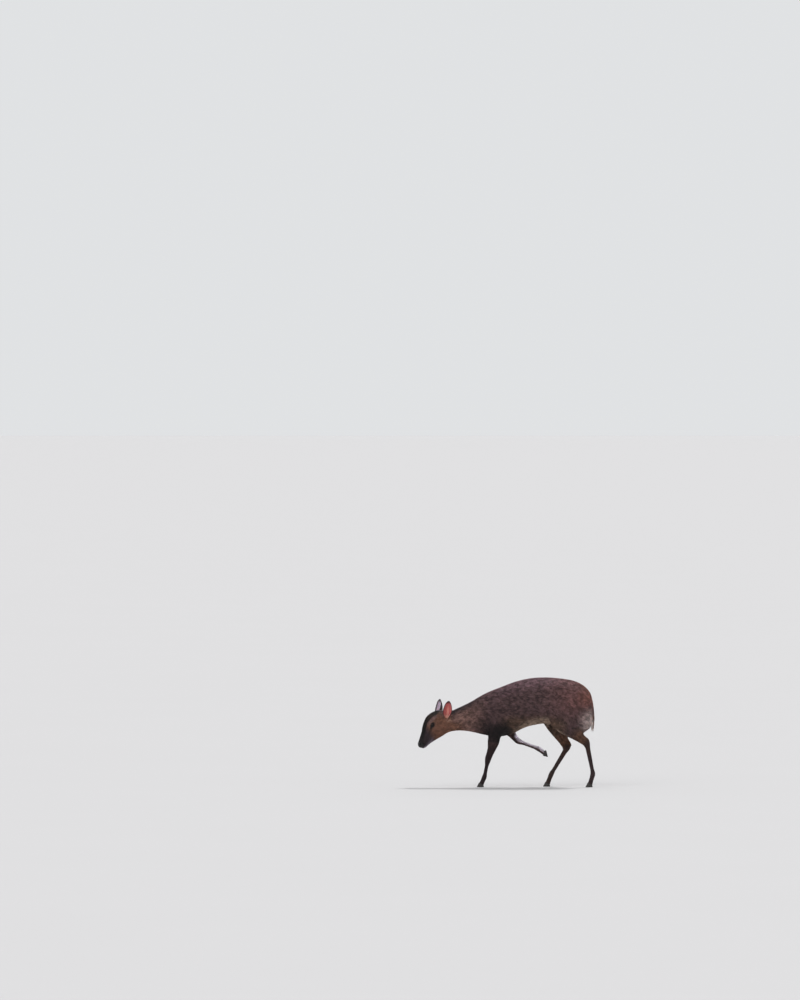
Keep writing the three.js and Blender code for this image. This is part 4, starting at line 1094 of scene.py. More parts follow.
# Shaders.
class Wire:
    """A shader number that takes part in sums."""

    def __init__(self, graph: "Graph", socket: bpy.types.NodeSocket) -> None:
        """Wraps one output socket of a node in graph."""
        self.graph = graph
        self.socket = socket

    def sum(self, operation: str, *values: Number) -> "Wire":
        """One Math node on these values."""
        return self.graph.add("ShaderNodeMath", {"operation": operation}, dict(enumerate(values)))

    def __add__(self, other: Number) -> "Wire":
        """self + other."""
        return self.sum("ADD", self, other)

    def __radd__(self, other: Number) -> "Wire":
        """other + self."""
        return self.sum("ADD", other, self)

    def __sub__(self, other: Number) -> "Wire":
        """self - other."""
        return self.sum("SUBTRACT", self, other)

    def __rsub__(self, other: Number) -> "Wire":
        """other - self."""
        return self.sum("SUBTRACT", other, self)

    def __mul__(self, other: Number) -> "Wire":
        """self * other."""
        return self.sum("MULTIPLY", self, other)

    def __rmul__(self, other: Number) -> "Wire":
        """other * self."""
        return self.sum("MULTIPLY", other, self)

    def __truediv__(self, other: Number) -> "Wire":
        """self / other."""
        return self.sum("DIVIDE", self, other)

    def __pow__(self, other: Number) -> "Wire":
        """self to the power of other."""
        return self.sum("POWER", self, other)

    def __abs__(self) -> "Wire":
        """self without its sign."""
        return self.sum("ABSOLUTE", self)

    def ramp(self, low: float, high: float) -> "Wire":
        """Runs smoothly from 0 at low to 1 at high."""
        settings = {"interpolation_type": "SMOOTHSTEP"}
        if low < high:
            return self.graph.add("ShaderNodeMapRange", settings, {0: self, 1: low, 2: high, 3: 0, 4: 1})
        return self.graph.add("ShaderNodeMapRange", settings, {0: self, 1: high, 2: low, 3: 1, 4: 0})


class Graph:
    """The nodes of one material, round its Principled shader."""

    def __init__(self, name: str, **constants: Any) -> None:
        """Starts a material.

        Args:
            name: The material's name.
            **constants: Fixed values of the shader's sockets, with _ for each space.
        """
        self.material = bpy.data.materials.new(name)
        self.material.use_nodes = True
        self.tree = self.material.node_tree
        self.shader = next(node for node in self.tree.nodes if node.type == "BSDF_PRINCIPLED")
        for key, value in constants.items():
            self.shader.inputs[key.replace("_", " ")].default_value = value

    def add(self, kind: str, settings: dict[str, Any], values: dict[Any, Any], output: Any = 0) -> Wire:
        """Adds one node.

        Args:
            kind: The node's type.
            settings: Its own settings.
            values: The values or links of its input sockets, by name or number.
            output: Which of its outputs to return, by name or number.

        Returns:
            That output.
        """
        node = self.tree.nodes.new(kind)
        for key, value in settings.items():
            setattr(node, key, value)
        for key, value in values.items():
            if isinstance(value, Wire):
                self.tree.links.new(value.socket, node.inputs[key])
            else:
                node.inputs[key].default_value = value
        return Wire(self, node.outputs[output])

    def attribute(self, name: str, output: str) -> Wire:
        """An attribute of the mesh, as Color, Vector or Fac."""
        return self.add("ShaderNodeAttribute", {"attribute_name": name}, {}, output)

    def parts(self, vector: Wire) -> list[Wire]:
        """The three numbers of a vector."""
        first = self.add("ShaderNodeSeparateXYZ", {}, {0: vector})
        return [Wire(self, socket) for socket in first.socket.node.outputs]

    def place(self) -> Wire:
        """The object's own coordinates."""
        return self.add("ShaderNodeTexCoord", {}, {}, "Object")

    def noise(self, per_metre: float, detail: float = 3, roughness: float = 0.55) -> Wire:
        """Noise on the object's own coordinates, with so many patches a metre."""
        values = {"Vector": self.place(), "Scale": per_metre, "Detail": detail, "Roughness": roughness}
        return self.add("ShaderNodeTexNoise", {}, values)

    def blend(self, share: Number, a: Any, b: Any, kind: str = "MIX") -> Wire:
        """Two colours mixed, with share as the part of b. MULTIPLY and others work too."""
        settings = {"data_type": "RGBA", "blend_type": kind, "clamp_factor": True}
        colour_a = a if isinstance(a, Wire) else (*a, 1)
        colour_b = b if isinstance(b, Wire) else (*b, 1)
        return self.add("ShaderNodeMix", settings, {0: share, 6: colour_a, 7: colour_b}, 2)

    def lit(self, colour: Any, light: Wire) -> Wire:
        """A colour multiplied by a number."""
        grey = self.add("ShaderNodeCombineColor", {}, {0: light, 1: light, 2: light})
        return self.blend(1.0, colour, grey, "MULTIPLY")

    def bump(self, height: Wire, strength: float, deep: float) -> Wire:
        """A normal bent by a height."""
        return self.add("ShaderNodeBump", {}, {"Height": height, "Strength": strength, "Distance": deep * MM})

    def shade(self, **links: Wire) -> bpy.types.Material:
        """Links the shader's sockets, named with _ for each space, and returns the material."""
        for key, wire in links.items():
            self.tree.links.new(wire.socket, self.shader.inputs[key.replace("_", " ")])
        return self.material


@dataclass(frozen=True)
class CoatFinish:
    """Grizzled hair: each tuft differs a little, and has a light band below its dark tip."""

    name: str = "coat"
    spread: float = 0.95
    band: float = 0.55
    band_at: float = 0.72
    bright: Triple = (1.68, 1.52, 1.32)
    tip: Triple = (0.012, 0.008, 0.007)
    roughness: float = 0.6

    def material(self) -> bpy.types.Material:
        """Makes the material of the tufts."""
        graph = Graph(self.name, Sheen_Weight=0.04, Sheen_Roughness=0.5, Specular_IOR_Level=0.22)
        chance, along, other = graph.parts(graph.attribute("fibre", "Vector"))
        patches = graph.noise(42) * 0.4 + 0.9
        light = (1 - self.spread / 2 + chance * self.spread) * patches * (0.72 + along * 0.42)
        tint = graph.lit(graph.attribute("tint", "Color"), light)
        bright = graph.blend(1.0, tint, self.bright, "MULTIPLY")
        band = (1 - abs(along - self.band_at) * 5.5).ramp(0, 0.8) * other.ramp(0.35, 0.9) * self.band
        banded = graph.blend(band, tint, bright)
        tipped = graph.blend(along.ramp(0.88, 1.0) * 0.35, banded, self.tip)
        fine = graph.noise(1500, 2)
        return graph.shade(
            Base_Color=tipped,
            Roughness=self.roughness + fine * 0.15,
            Normal=graph.bump(fine, 0.35, 0.3),
        )


@dataclass(frozen=True)
class SkinFinish:
    """The skin below the coat, with short hair as bump, and wet and pebbled where it is bare."""

    name: str = "skin"
    roughness: float = 0.72
    glow: float = 0.0

    def material(self) -> bpy.types.Material:
        """Makes the material of skin, lids and ears."""
        graph = Graph(
            self.name,
            Specular_IOR_Level=0.4,
            Subsurface_Weight=self.glow,
            Subsurface_Radius=(1.0, 0.4, 0.3),
            Subsurface_Scale=0.004,
        )
        wet = graph.parts(graph.attribute("relief", "Vector"))[0]
        speckle = graph.noise(900, 3)
        # glow also brightens the colour itself: painted light for the light shining through the ears.
        light = (graph.noise(45) * 0.3 + 0.62 + self.glow * 0.35) * (0.75 + speckle * 0.5)
        tint = graph.lit(graph.attribute("tint", "Color"), light)
        pebbles = graph.add("ShaderNodeTexVoronoi", {}, {"Vector": graph.place(), "Scale": 780.0})
        height = speckle * (1 - wet) + pebbles * wet * 1.4
        return graph.shade(
            Base_Color=tint,
            Roughness=self.roughness - wet * 0.42 + speckle * 0.1,
            Normal=graph.bump(height, 0.6, 0.45),
        )


@dataclass(frozen=True)
class EyeFinish:
    """A dark brown eye with a wide pupil under a clear wet front."""

    name: str = "eye"
    iris: Triple = (0.022, 0.01, 0.006)
    rim: Triple = (0.008, 0.005, 0.005)
    pupil: Triple = (0.003, 0.003, 0.004)

    def material(self) -> bpy.types.Material:
        """Makes the eye's material, which follows the attribute gaze."""
        graph = Graph(self.name, Coat_Weight=0.32, Coat_Roughness=0.03, Specular_IOR_Level=0.06)
        long, high, _ = graph.parts(graph.attribute("gaze", "Vector"))
        far = (long * long + high * high) ** 0.5
        streaks = graph.noise(1100, 2)
        iris = graph.blend(far.ramp(0.35, 0.8), self.iris, self.rim)
        streaked = graph.lit(iris, streaks * 0.9 + 0.5)
        slot = ((long / 0.44) ** 2 + (high / 0.3) ** 2).ramp(1.12, 0.88)
        return graph.shade(
            Base_Color=graph.blend(slot, streaked, self.pupil),
            Roughness=streaks * 0.08 + 0.1,
            Normal=graph.bump(streaks, 0.04, 0.1),
        )


@dataclass(frozen=True)
class HornFinish:
    """Dark horn with growth rings, paler and dustier in patches."""

    name: str = "hoof_horn"
    dark: Triple = (0.016, 0.013, 0.012)
    pale: Triple = (0.05, 0.039, 0.032)

    def material(self) -> bpy.types.Material:
        """Makes the material of hooves and dewclaws."""
        graph = Graph(self.name, Specular_IOR_Level=0.5)
        values = {"Vector": graph.place(), "Scale": 190.0, "Distortion": 2.5, "Detail": 2.0}
        rings = graph.add("ShaderNodeTexWave", {"bands_direction": "Z"}, values, "Fac")
        dust = graph.noise(260, 4)
        share = (dust.ramp(0.45, 0.75) * 0.6 + rings * 0.12).ramp(0, 1)
        return graph.shade(
            Base_Color=graph.blend(share, self.dark, self.pale),
            Roughness=0.42 + dust * 0.3,
            Normal=graph.bump(rings * 0.5 + dust * 0.3, 0.4, 0.25),
        )


@dataclass(frozen=True)
class FloorFinish:
    """A plain pale floor."""

    name: str = "pale_floor"
    colour: Triple = (0.487, 0.48, 0.483)
    cloud: Triple = (0.44, 0.44, 0.43)

    def material(self) -> bpy.types.Material:
        """Makes the floor's material."""
        graph = Graph(self.name, Specular_IOR_Level=0.2)
        cloud = graph.noise(0.8, 4)
        colour = graph.blend(cloud * 0.08, self.colour, self.cloud)
        return graph.shade(Base_Color=colour, Roughness=cloud * 0.1 + 0.85)


def dress(
    obj: Object, material: bpy.types.Material, nodes: Sequence[str] = ()
) -> Object:
    """Gives a piece its material and its slot, hangs it from the body's root, and hides the solids it stands
    for.
    """
    obj.data.materials.clear()
    obj.data.materials.append(material)
    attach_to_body(obj, "root")
    if nodes:
        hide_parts(*nodes)
    LOG.info("%s: %d faces", obj.name, len(obj.data.polygons))
    return obj


def mark(obj: Object, tint: Array | None = None) -> None:
    """Writes the skin's colours and relief on obj."""
    points, normals = places(obj), facings(obj)
    colours = MARKS.tint(points, normals) if tint is None else tint
    attach(obj, "tint", np.hstack([colours, np.ones((len(points), 1))]))
    attach(obj, "relief", MARKS.nose_pad(points, normals)[:, None] * [1, 0, 0])


# Eyes.
@dataclass
class Eye:
    """One eyeball, with a clear front that bulges a little."""

    side: Side
    bulge: float = 0.9
    front: float = 38
    clear_of_lids: float = 0.35

    def build(self) -> Object:
        """Makes the eyeball."""
        add = bpy.ops.mesh.primitive_uv_sphere_add
        obj = new_piece(add, f"eyeball_{self.side.label}", segments=56, ring_count=36, radius=1)
        ball = unit(read(obj.data.vertices, "co"))
        turn = np.degrees(np.arccos(np.clip(ball[:, 2], -1, 1)))
        radius = DOE.head.eye_radius - self.clear_of_lids
        radius = radius + self.bulge * smooth(self.front, 0, turn) ** 0.7
        out = DOE.head.way(0.12, 0.06, self.side)
        up = DOE.head.way(0, 1, 0)
        up = unit(up - out * (up @ out))
        axes = np.array([np.cross(up, out), up, out])
        put(obj, DOE.head.eye_at(self.side) + (ball @ axes) * radius[:, None])
        attach(obj, "gaze", ball)
        obj.data.shade_smooth()
        return dress(obj, EYE_MATERIAL, [f"eye_{self.side.label}"])


# Ears.
@dataclass
class Ear:
    """One ear: a curled sheet, narrow at its root and drawn out to a soft tip."""

    side: Side
    root: Triple = (-66, -34, 37)
    rows: tuple[tuple[float, float, float, float], ...] = (
        (-6, 8, 168, 0),
        (6, 10, 160, -1),
        (17, 14.5, 132, -3),
        (30, 19, 108, -5),
        (43, 20.5, 94, -6.5),
        (56, 19, 84, -6.5),
        (67, 16.3, 79, -5),
        (76, 12, 75, -3.5),
        (81.5, 7.2, 72, -2.4),
        (84, 3, 70, -2),
    )
    wall: float = 1.3
    ridges: float = 0.7

    @property
    def axes(self) -> Array:
        """Rows across, facing and along."""
        along = unit(np.array([0.06, -0.27, 0.96] if self.side < 0 else [-0.08, 0.28, 0.95]))
        facing = np.array([-0.3, -0.95, 0] if self.side < 0 else [-0.8, -0.6, 0])
        facing = unit(facing - along * (facing @ along))
        return np.array([np.cross(facing, along), facing, along])

    @property
    def fine(self) -> Array:
        """The rows, rounded to 301 of them."""
        return rounded(np.array(self.rows, float), 301)

    @property
    def base(self) -> Array:
        """Where the ear's root is."""
        return DOE.head.at(self.root[0], self.root[1], self.side * self.root[2])

    def bend(self, across: Array, along: Array) -> Array:
        """Places on the middle of the ear's wall, for shares across and along it."""
        height, radius, curl, back = self.fine[np.round(along * 300).astype(int)].T
        radius = radius - self.wall / 2
        turn = np.radians(curl) * (2 * across - 1)
        ridge = self.ridges * np.sin(across * math.pi * 7) * smooth(0, 0.3, along) * smooth(1, 0.75, along)
        ridge *= smooth(0, 0.15, across) * smooth(1, 0.85, across)
        out = (radius + ridge) * np.sin(turn)
        deep = back + radius - (radius + ridge) * np.cos(turn)
        return self.base + np.column_stack([out, deep, height]) @ self.axes

    def local(self, points: Array) -> Array:
        """Points along the ear's own axes, from its root."""
        return (points - self.base) @ self.axes.T

    def form(self, height: Array) -> list[Array]:
        """The wall's radius, half its curl in degrees and how far back it lies, at each height."""
        rows = self.fine
        return [np.interp(height, rows[:, 0], rows[:, k]) for k in (1, 2, 3)]

    def off_wall(self, points: Array) -> tuple[Array, Array]:
        """How far outside the curled wall points are, and how high up the ear."""
        across, facing, along = self.local(points).T
        radius, _, back = self.form(along)
        return np.hypot(across, facing - back - radius) - radius, along

    def inside(self, points: Array, normals: Array) -> Array:
        """A mask of the ear's hollow side."""
        across, facing, along = self.local(points).T
        radius, _, back = self.form(along)
        outward = unit(np.column_stack([across, facing - back - radius])) @ self.axes[:2]
        return smooth(0.0, -0.3, np.sum(normals * outward, axis=1))

    def hollow(self, points: Array) -> Array:
        """A mask of the space that the ear's wall curls round."""
        away, along = self.off_wall(points)
        return smooth(1.5, -1.0, away) * (along > -1) * (along < 60)

    def nearness(self, points: Array) -> Array:
        """A mask of the skin round the ear's root."""
        away, along = self.off_wall(points)
        return smooth(9, 1, away) * smooth(34, 24, along) * smooth(-14, -6, along)

    def rim(self, points: Array) -> Array:
        """A mask of the ear's edge and tip."""
        across, facing, along = self.local(points).T
        radius, curl, back = self.form(along)
        turn = np.degrees(np.abs(np.arctan2(across, back + radius - facing)))
        # The right ear's band is wider: beyond its dark edge it paints the shade just inside the rim.
        wide = smooth(16 if self.side < 0 else 21, 4, (curl - turn) * radius / 57.3 * 1.6)
        return np.maximum(wide, smooth(66, 80, along)) * smooth(8, 24, along)

    def tint(self, points: Array, normals: Array) -> Array:
        """The ear's colours: brown behind, pink within, dark at the edge, with painted glow in the left
        hollow and painted shade inside the right rim.
        """
        palette = MARKS.palette
        inside, rim = self.inside(points, normals), self.rim(points)
        across, _, along = self.local(points).T
        shade = mix(linear(palette.cheek), linear(palette.ear_back), smooth(5, 40, along)[:, None])
        # The left ear's hollow is painted red with light shining through it from behind, and mixed towards
        # ear_glow in its middle and at its base.
        hollow = linear(palette.ear_inside if self.side < 0 else palette.ear_pale)
        glow = linear(palette.ear_glow if self.side < 0 else palette.white)
        middle = smooth(9, 1, np.abs(across - 3)) * smooth(72, 40, along) * smooth(4, 24, along)
        middle = np.maximum(0.4 * middle, 0.85 * smooth(24, 6, along))
        hollow = mix(hollow, glow, middle[:, None])
        shade = mix(shade, hollow, inside[:, None])
        return mix(shade, linear(palette.ear_rim), 0.9 * rim[:, None])

    def build(self) -> Object:
        """Makes the ear's skin."""
        ear = sheet(f"ear_skin_{self.side.label}", 26, 34, self.bend, False)
        modify(ear, "SOLIDIFY", thickness=self.wall * MM, offset=0, use_rim=True)
        modify(ear, "SUBSURF", levels=1, render_levels=1)
        in_edit(ear, lambda: bpy.ops.mesh.normals_make_consistent(inside=False))
        ear.data.shade_smooth()
        mark(ear, self.tint(places(ear), facings(ear)))
        return dress(ear, EAR_MATERIAL, [f"ear_{self.side.label}"])


# Feet.
@dataclass
class Feet:
    """Hooves with rounded edges, and small curved dewclaws."""

    voxel: float = 0.8
    rounds: int = 10
    sharpest: float = 60
    front_taper: float = 0.22
    heel_taper: float = 0.08
    side_taper: float = 0.16
    dew_wide: tuple[float, ...] = (3.4, 3.3, 2.9, 2.2, 1.1)
    dew_deep: tuple[float, ...] = (3.2, 3.0, 2.5, 1.8, 0.9)

    def build(self) -> None:
        """Makes them all."""
        for name in LEGS:
            for which in ("outer", "inner"):
                self.hoof(f"{name}_{which}")
                self.dewclaw(name, which)

    def hoof(self, name: str) -> Object:
        """One claw, from its solid, with its edges rounded."""
        claw = solid_copy(f"hoof_{name}", f"claw_{name}")
        modify(claw, "REMESH", mode="VOXEL", voxel_size=self.voxel * MM)
        put(claw, self.tapered(places(claw), LEGS[name.rsplit("_", 1)[0]]))
        modify(claw, "SMOOTH", factor=0.5, iterations=self.rounds)
        only(claw)
        bpy.ops.object.shade_smooth_by_angle(angle=math.radians(self.sharpest))
        return dress(claw, HORN_MATERIAL, [f"hoof_{name}"])

    def tapered(self, points: Array, leg: Leg) -> Array:
        """Draws a claw in towards its middle, more so higher up.

        Args:
            points: The claw's places.
            leg: Its leg.

        Returns:
            The places, moved.
        """
        ahead = leg.foot_way(1, 0)
        off = points - leg.joint(-1)
        forward = off @ ahead
        middle = (forward.min() + forward.max()) / 2
        pull = smooth(4, 19, off @ leg.foot_way(0, 1))
        share = np.where(forward < middle, self.front_taper, self.heel_taper)
        back = share * pull * (middle - forward)
        side = -self.side_taper * pull * (off[:, 1] - off[:, 1].mean())
        return points + ahead * back[:, None] + np.array([0, 1, 0]) * side[:, None]

    def dewclaw(self, name: str, which: str) -> Object:
        """One dewclaw, a short curved cone behind the fetlock."""
        leg = LEGS[name]
        side = side_of(name) if which == "outer" else -side_of(name)
        pastern = unit(leg.foot(0, 0, 14) - leg.joint(3))
        back = leg.foot_way(-1, 0)
        root = leg.joint(3) + back * 7 + pastern * 1.5 + np.array([0, side * 5.4, 0])
        shares = np.linspace(0, 1, len(self.dew_wide))[:, None]
        line = root + shares * (pastern * 8.5 + back * 5) - shares**2 * back * 2
        claw = spindle(f"dew_{name}_{which}", line, self.dew_wide, self.dew_deep, 16, 14)
        claw.data.shade_smooth()
        return dress(claw, HORN_MATERIAL, [f"dewclaw_{name}_{which}"])


# Coat.
@dataclass
class Roots:
    """Where tufts grow, and how each one is to lie.

    place is on the unwrap, from 0 to 1, and free ones hang straight off the skin.
    """

    at: Array
    normals: Array
    ways: Array
    length: Array
    depth: Array
    place: Array
    tint: Array
    free: Array

    def pick(self, own: Array) -> "Roots":
        """Those that own picks."""
        return Roots(**{key: rows[own] for key, rows in vars(self).items()})


@dataclass
class Tufts:
    """Many tufts, each a closed three-sided bar that runs from its root to a fine tip.

    spine holds the places along each one's middle, and up is the side that faces off the skin.
    """

    spine: Array
    up: Array
    half: Array
    tint: Array
    chance: Array
    place: Array
    flatness: float = 0.45

    def mesh(self, name: str) -> Object:
        """Makes one mesh of them all."""
        points, along = self.points()
        count, each = len(self.half), points.shape[1]
        quads, tips = self.faces(each)
        start = np.arange(count)[:, None, None] * each
        quads, tips = (start + quads).reshape(-1, 4), (start + tips).reshape(-1, 3)
        mesh = bpy.data.meshes.new(name)
        mesh.vertices.add(count * each)
        mesh.vertices.foreach_set("co", DOE.to_frame(points.reshape(-1, 3)).ravel())
        corners = np.concatenate([quads.ravel(), tips.ravel()])
        starts = np.concatenate([np.arange(len(quads)) * 4, len(quads) * 4 + np.arange(len(tips)) * 3])
        mesh.loops.add(len(corners))
        mesh.loops.foreach_set("vertex_index", corners.astype(np.int32))
        mesh.polygons.add(len(starts))
        mesh.polygons.foreach_set("loop_start", starts.astype(np.int32))
        mesh.update(calc_edges=True)
        obj = linked(name, mesh)
        attach(obj, "tint", np.repeat(np.hstack([self.tint, np.ones((count, 1))]), each, 0))
        fibre = np.empty((count, each, 3))
        fibre[:, :, 0], fibre[:, :, 1], fibre[:, :, 2] = self.chance[:, :1], along, self.chance[:, 1:]
        attach(obj, "fibre", fibre.reshape(-1, 3))
        self.lay_out(mesh, along, corners)
        mesh.shade_smooth()
        return obj

    def points(self) -> tuple[Array, Array]:
        """Every vertex of every tuft, and how far along its tuft each vertex is."""
        count, steps, _ = self.spine.shape
        ahead = unit(np.gradient(self.spine, axis=1))
        side = unit(np.cross(ahead, self.up[:, None, :]))
        rise = np.cross(side, ahead)
        shares = np.linspace(0, 1, steps)
        taper = np.interp(shares, [0, 0.4, 0.75, 1], [0.75, 1, 0.68, 0])[None, :, None]
        half = self.half[:, None, None] * taper
        thick = (self.half * self.flatness)[:, None, None] * taper
        edges = [self.spine - side * half, self.spine + side * half, self.spine + rise * thick]
        rings = np.stack(edges, axis=2)
        rings = rings[:, :-1].reshape(count, -1, 3)
        along = np.append(np.repeat(shares[:-1], 3), 1.0)
        return np.concatenate([rings, self.spine[:, -1:]], axis=1), along

    def faces(self, each: int) -> tuple[Array, Array]:
        """The faces of one tuft with so many vertices: four-sided ones, and the three-sided ends."""
        quads = []
        for ring in range(0, each - 4, 3):
            for a, b in ((1, 2), (2, 0), (0, 1)):
                quads.append((ring + a, ring + a + 3, ring + b + 3, ring + b))
        last, tip = each - 4, each - 1
        ends = [(0, 1, 2), (last + 1, tip, last + 2), (last + 2, tip, last), (last, tip, last + 1)]
        return np.array(quads, int).reshape(1, -1, 4), np.array(ends)[None]

    def lay_out(self, mesh: bpy.types.Mesh, along: Array, corners: Array) -> None:
        """Writes OFBake: each tuft is a small patch at its root's place on the skin's own unwrap."""
        each = len(along)
        across = np.append(np.tile([-1.0, 1.0, 0.0], (each - 1) // 3), 0.0)
        patch = np.column_stack([across * 0.0014, (along - 0.5) * 0.003])
        spots = (self.place[:, None, :] + patch[None]).reshape(-1, 2)
        layer = mesh.uv_layers.new(name="OFBake")
        layer.data.foreach_set("uv", spots[corners].astype(np.float32).ravel())


@dataclass
class Coat:
    """The coat on one surface: where roots are, and how each tuft lies on it."""

    surface: Surface
    turn: float = 9
    steps: int = 3
    gather: float = 0.3
    shared: float = 0.6
    rise: tuple[float, float] = (0.35, 0.75)
    lift: tuple[float, float] = (0.55, 0.3)
    stretch: tuple[float, float] = (0.4, 1.25)
    width: tuple[float, float] = (0.17, 0.026)
    rng: np.random.Generator = field(default_factory=lambda: np.random.default_rng(SEED))

    def thin(self, spacing: Array) -> Array:
        """The spacing as it is; a factor here gives fewer tufts, each place keeping its share."""
        return spacing * 1

    def vary(self, count: int) -> Array:
        """Chance factors from 0.75 to 1.25."""
        return 0.75 + 0.5 * self.rng.random(count)

    def lay(self, roots: Roots, slim: float = 1.0) -> Tufts:
        """Bends tufts down on the surface.

        Args:
            roots: Where they grow.
            slim: Their width as a share of the usual.

        Returns:
            The tufts.
        """
        at, normals, count = roots.at, roots.normals, len(roots.at)
        lock, pull = self.locks(roots)
        chance = mix(self.rng.random((count, 2)), lock, self.shared)
        length = roots.length * self.vary(count)
        flat, facing = self.laid(roots, self.turned(roots, pull), length)
        close = 0.5 + 0.5 * smooth(6, 15, length)
        rise = (self.rise[0] + self.rise[1] * self.rng.random(count)) * roots.depth * close
        tips = flat + facing * rise[:, None]
        stretch = length / np.maximum(np.linalg.norm(tips - at, axis=1), 1e-6)
        tips = at + (tips - at) * np.clip(stretch, *self.stretch)[:, None]
        spine = [at - normals * np.minimum(0.5 + 0.03 * length, 1.2)[:, None]]
        for share in np.linspace(0, 1, self.steps)[1:-1]:
            arch = math.sin(math.pi * min(share + 0.12, 1))
            lift = roots.depth * close * (self.lift[0] + self.lift[1] * chance[:, 0]) * arch
            spine.append(mix(at, tips, share) + normals * lift[:, None])
        spine.append(tips)
        half = (self.width[0] + self.width[1] * length) * self.vary(count) * slim
        up = unit(normals + facing)
        return Tufts(np.stack(spine, axis=1), up, half, roots.tint, chance, roots.place)

    def locks(self, roots: Roots) -> tuple[Array, Array]:
        """Gathers tufts into locks about half a tuft long.

        Args:
            roots: Where the tufts grow.

        Returns:
            Two numbers from 0 to 1 that a lock's tufts share, and the way to the lock's middle,
            one long at its edge.
        """
        size = (2.0 + 0.33 * roots.length)[:, None]
        size = np.exp2(np.round(np.log2(size) * 2) / 2)
        cell = np.floor((roots.at + self.rng.normal(0, 0.22, roots.at.shape) * size) / size)
        code = np.sin(cell @ CELL_CODES) * CELL_STEP
        return np.abs(code) % 1, ((cell + 0.5) * size - roots.at) / size

    def turned(self, roots: Roots, pull: Array) -> Array:
        """Turns tufts a little by chance, and towards the middles of their locks.

        Args:
            roots: Where they grow.
            pull: The way to each one's lock.

        Returns:
            The way that each one lies.
        """
        normals = roots.normals
        angle = np.radians(self.rng.normal(0, self.turn, len(roots.at)))[:, None]
        ways = roots.ways * np.cos(angle) + np.cross(normals, roots.ways) * np.sin(angle)
        ways = unit(ways + self.gather * flattened(pull, normals))
        return unit(flattened(ways, normals))

    def laid(self, roots: Roots, ways: Array, length: Array) -> tuple[Array, Array]:
        """Lays tufts down along the surface, or hangs the free ones.

        Args:
            roots: Where they grow.
            ways: The way that each one lies.
            length: How long each one is.

        Returns:
            Where their tips come to lie, and the surface's normals there.
        """
        flat, which = self.surface.nearest(roots.at + ways * length[:, None])
        flat = np.where(roots.free[:, None], roots.at + roots.ways * length[:, None], flat)
        short = np.linalg.norm(flat - roots.at, axis=1) < 0.3 * length
        flat = np.where(short[:, None], roots.at + ways * (0.6 * length)[:, None], flat)
        corner = self.surface.triangles[which]
        return flat, unit(self.surface.normals[corner].mean(axis=1))

    def grow(self) -> None:
        """Grows the whole body's coat, one piece for each part of her on each side."""
        roots, run = self.plant()
        names = np.array([DOE.runs[k].coat for k in run])
        for name in sorted(set(names)):
            for side in Side:
                own = (names == name) & (np.sign(roots.at[:, 1] - self.middle(name)) * side > 0)
                if not own.any():
                    continue
                picked = roots.pick(own)
                picked.place = self.fill(picked.place)
                piece = self.lay(picked).mesh(f"{name}_{side.label}")
                dress(piece, COAT_MATERIAL)

    def plant(self) -> tuple[Roots, Array]:
        """Sets roots all over the skin, but not where it is bare.

        Returns:
            The roots, and the number of the run that each one belongs to.
        """
        surface = self.surface
        spacing = self.thin(DOE.spread(DOE.shares(surface.points), "spacing"))
        spacing = np.where(MARKS.bare(surface.points, surface.normals) > 0.4, BARE_SPACING, spacing)
        at, normals = surface.scatter(spacing, self.rng)
        shares = DOE.shares(at)
        ways = DOE.hair_way(at, normals, shares)
        tail = shares[:, [lie.coat == "coat_tail" for lie in DOE.runs]].sum(1) > 0.5
        normals[tail] = unit(normals[tail] * [1, 1, 0.15] + [0.02, 0, 0])
        ways[tail] = unit(np.array([0.03, 0, -1.0]) + 0.14 * normals[tail])
        low = np.min([np.linalg.norm(at - leg.foot(0, 0, 10), axis=1) for leg in LEGS.values()], axis=0)
        run = shares.argmax(1)
        roots = Roots(
            at=at,
            normals=normals,
            ways=ways,
            length=DOE.spread(shares, "length") * self.shorter(at),
            depth=DOE.spread(shares, "depth"),
            place=self.unwrap(at, run),
            tint=self.grizzled(at, normals),
            free=tail | (low < 19),
        )
        return roots, run

    def shorter(self, at: Array) -> Array:
        """What the usual length is multiplied by: less near eyes and ears."""
        by_eye = np.min([DOE.head.eye_round(side, at)[0] for side in Side], axis=0)
        by_ear = np.max([Ear(side).nearness(at) for side in Side], axis=0)
        return 1.15 * (0.28 + 0.72 * smooth(1.2, 3.6, by_eye)) * (1 - 0.65 * by_ear)

    def grizzled(self, at: Array, normals: Array) -> Array:
        """Each tuft's colour, flecked light and dark on the body and less on head and legs."""
        light = 0.4 + 0.2 * DOE.flecks(at, 10) + 1.04 * DOE.flecks(at + 400, 5.4)
        plain = np.maximum(MARKS.in_head(at), smooth(222, 190, at[:, 2]))
        return MARKS.tint(at, normals) * mix(light, 1.0 + 0.35 * (light - 1), plain)[:, None]

    def middle(self, name: str) -> float:
        """Where the line between her left and right runs in one part of the coat."""
        return {"coat_head": -30, "coat_neck": -8}.get(name, 0)

    def unwrap(self, roots: Array, run: Array) -> Array:
        """Each root's place on an unwrap of the skin, run by run: down the run, and round it."""
        place = np.empty((len(roots), 2))
        for k, lie in enumerate(DOE.runs):
            own = run == k
            line = unit(lie.end - lie.start)
            side = unit(np.cross(line, [0.3, 1, 0.2]))
            top = np.cross(line, side)
            off = roots[own] - lie.start
            turn = np.arctan2(off @ top, off @ side) / (2 * math.pi) + 0.5
            down = off @ line / np.linalg.norm(lie.end - lie.start)
            place[own] = np.column_stack([turn, k + np.clip(down, 0, 0.999)])
        return place

    def fill(self, place: Array) -> Array:
        """Spreads a piece's own part of the unwrap over the whole square."""
        bands, row = np.unique(np.floor(place[:, 1]).astype(int), return_inverse=True)
        down = (row + place[:, 1] % 1 * 0.96 + 0.02) / len(bands)
        low, high = place[:, 0].min(), place[:, 0].max()
        across = (place[:, 0] - low) / max(high - low, 1e-6)
        return np.column_stack([across, down]) * 0.99 + 0.005


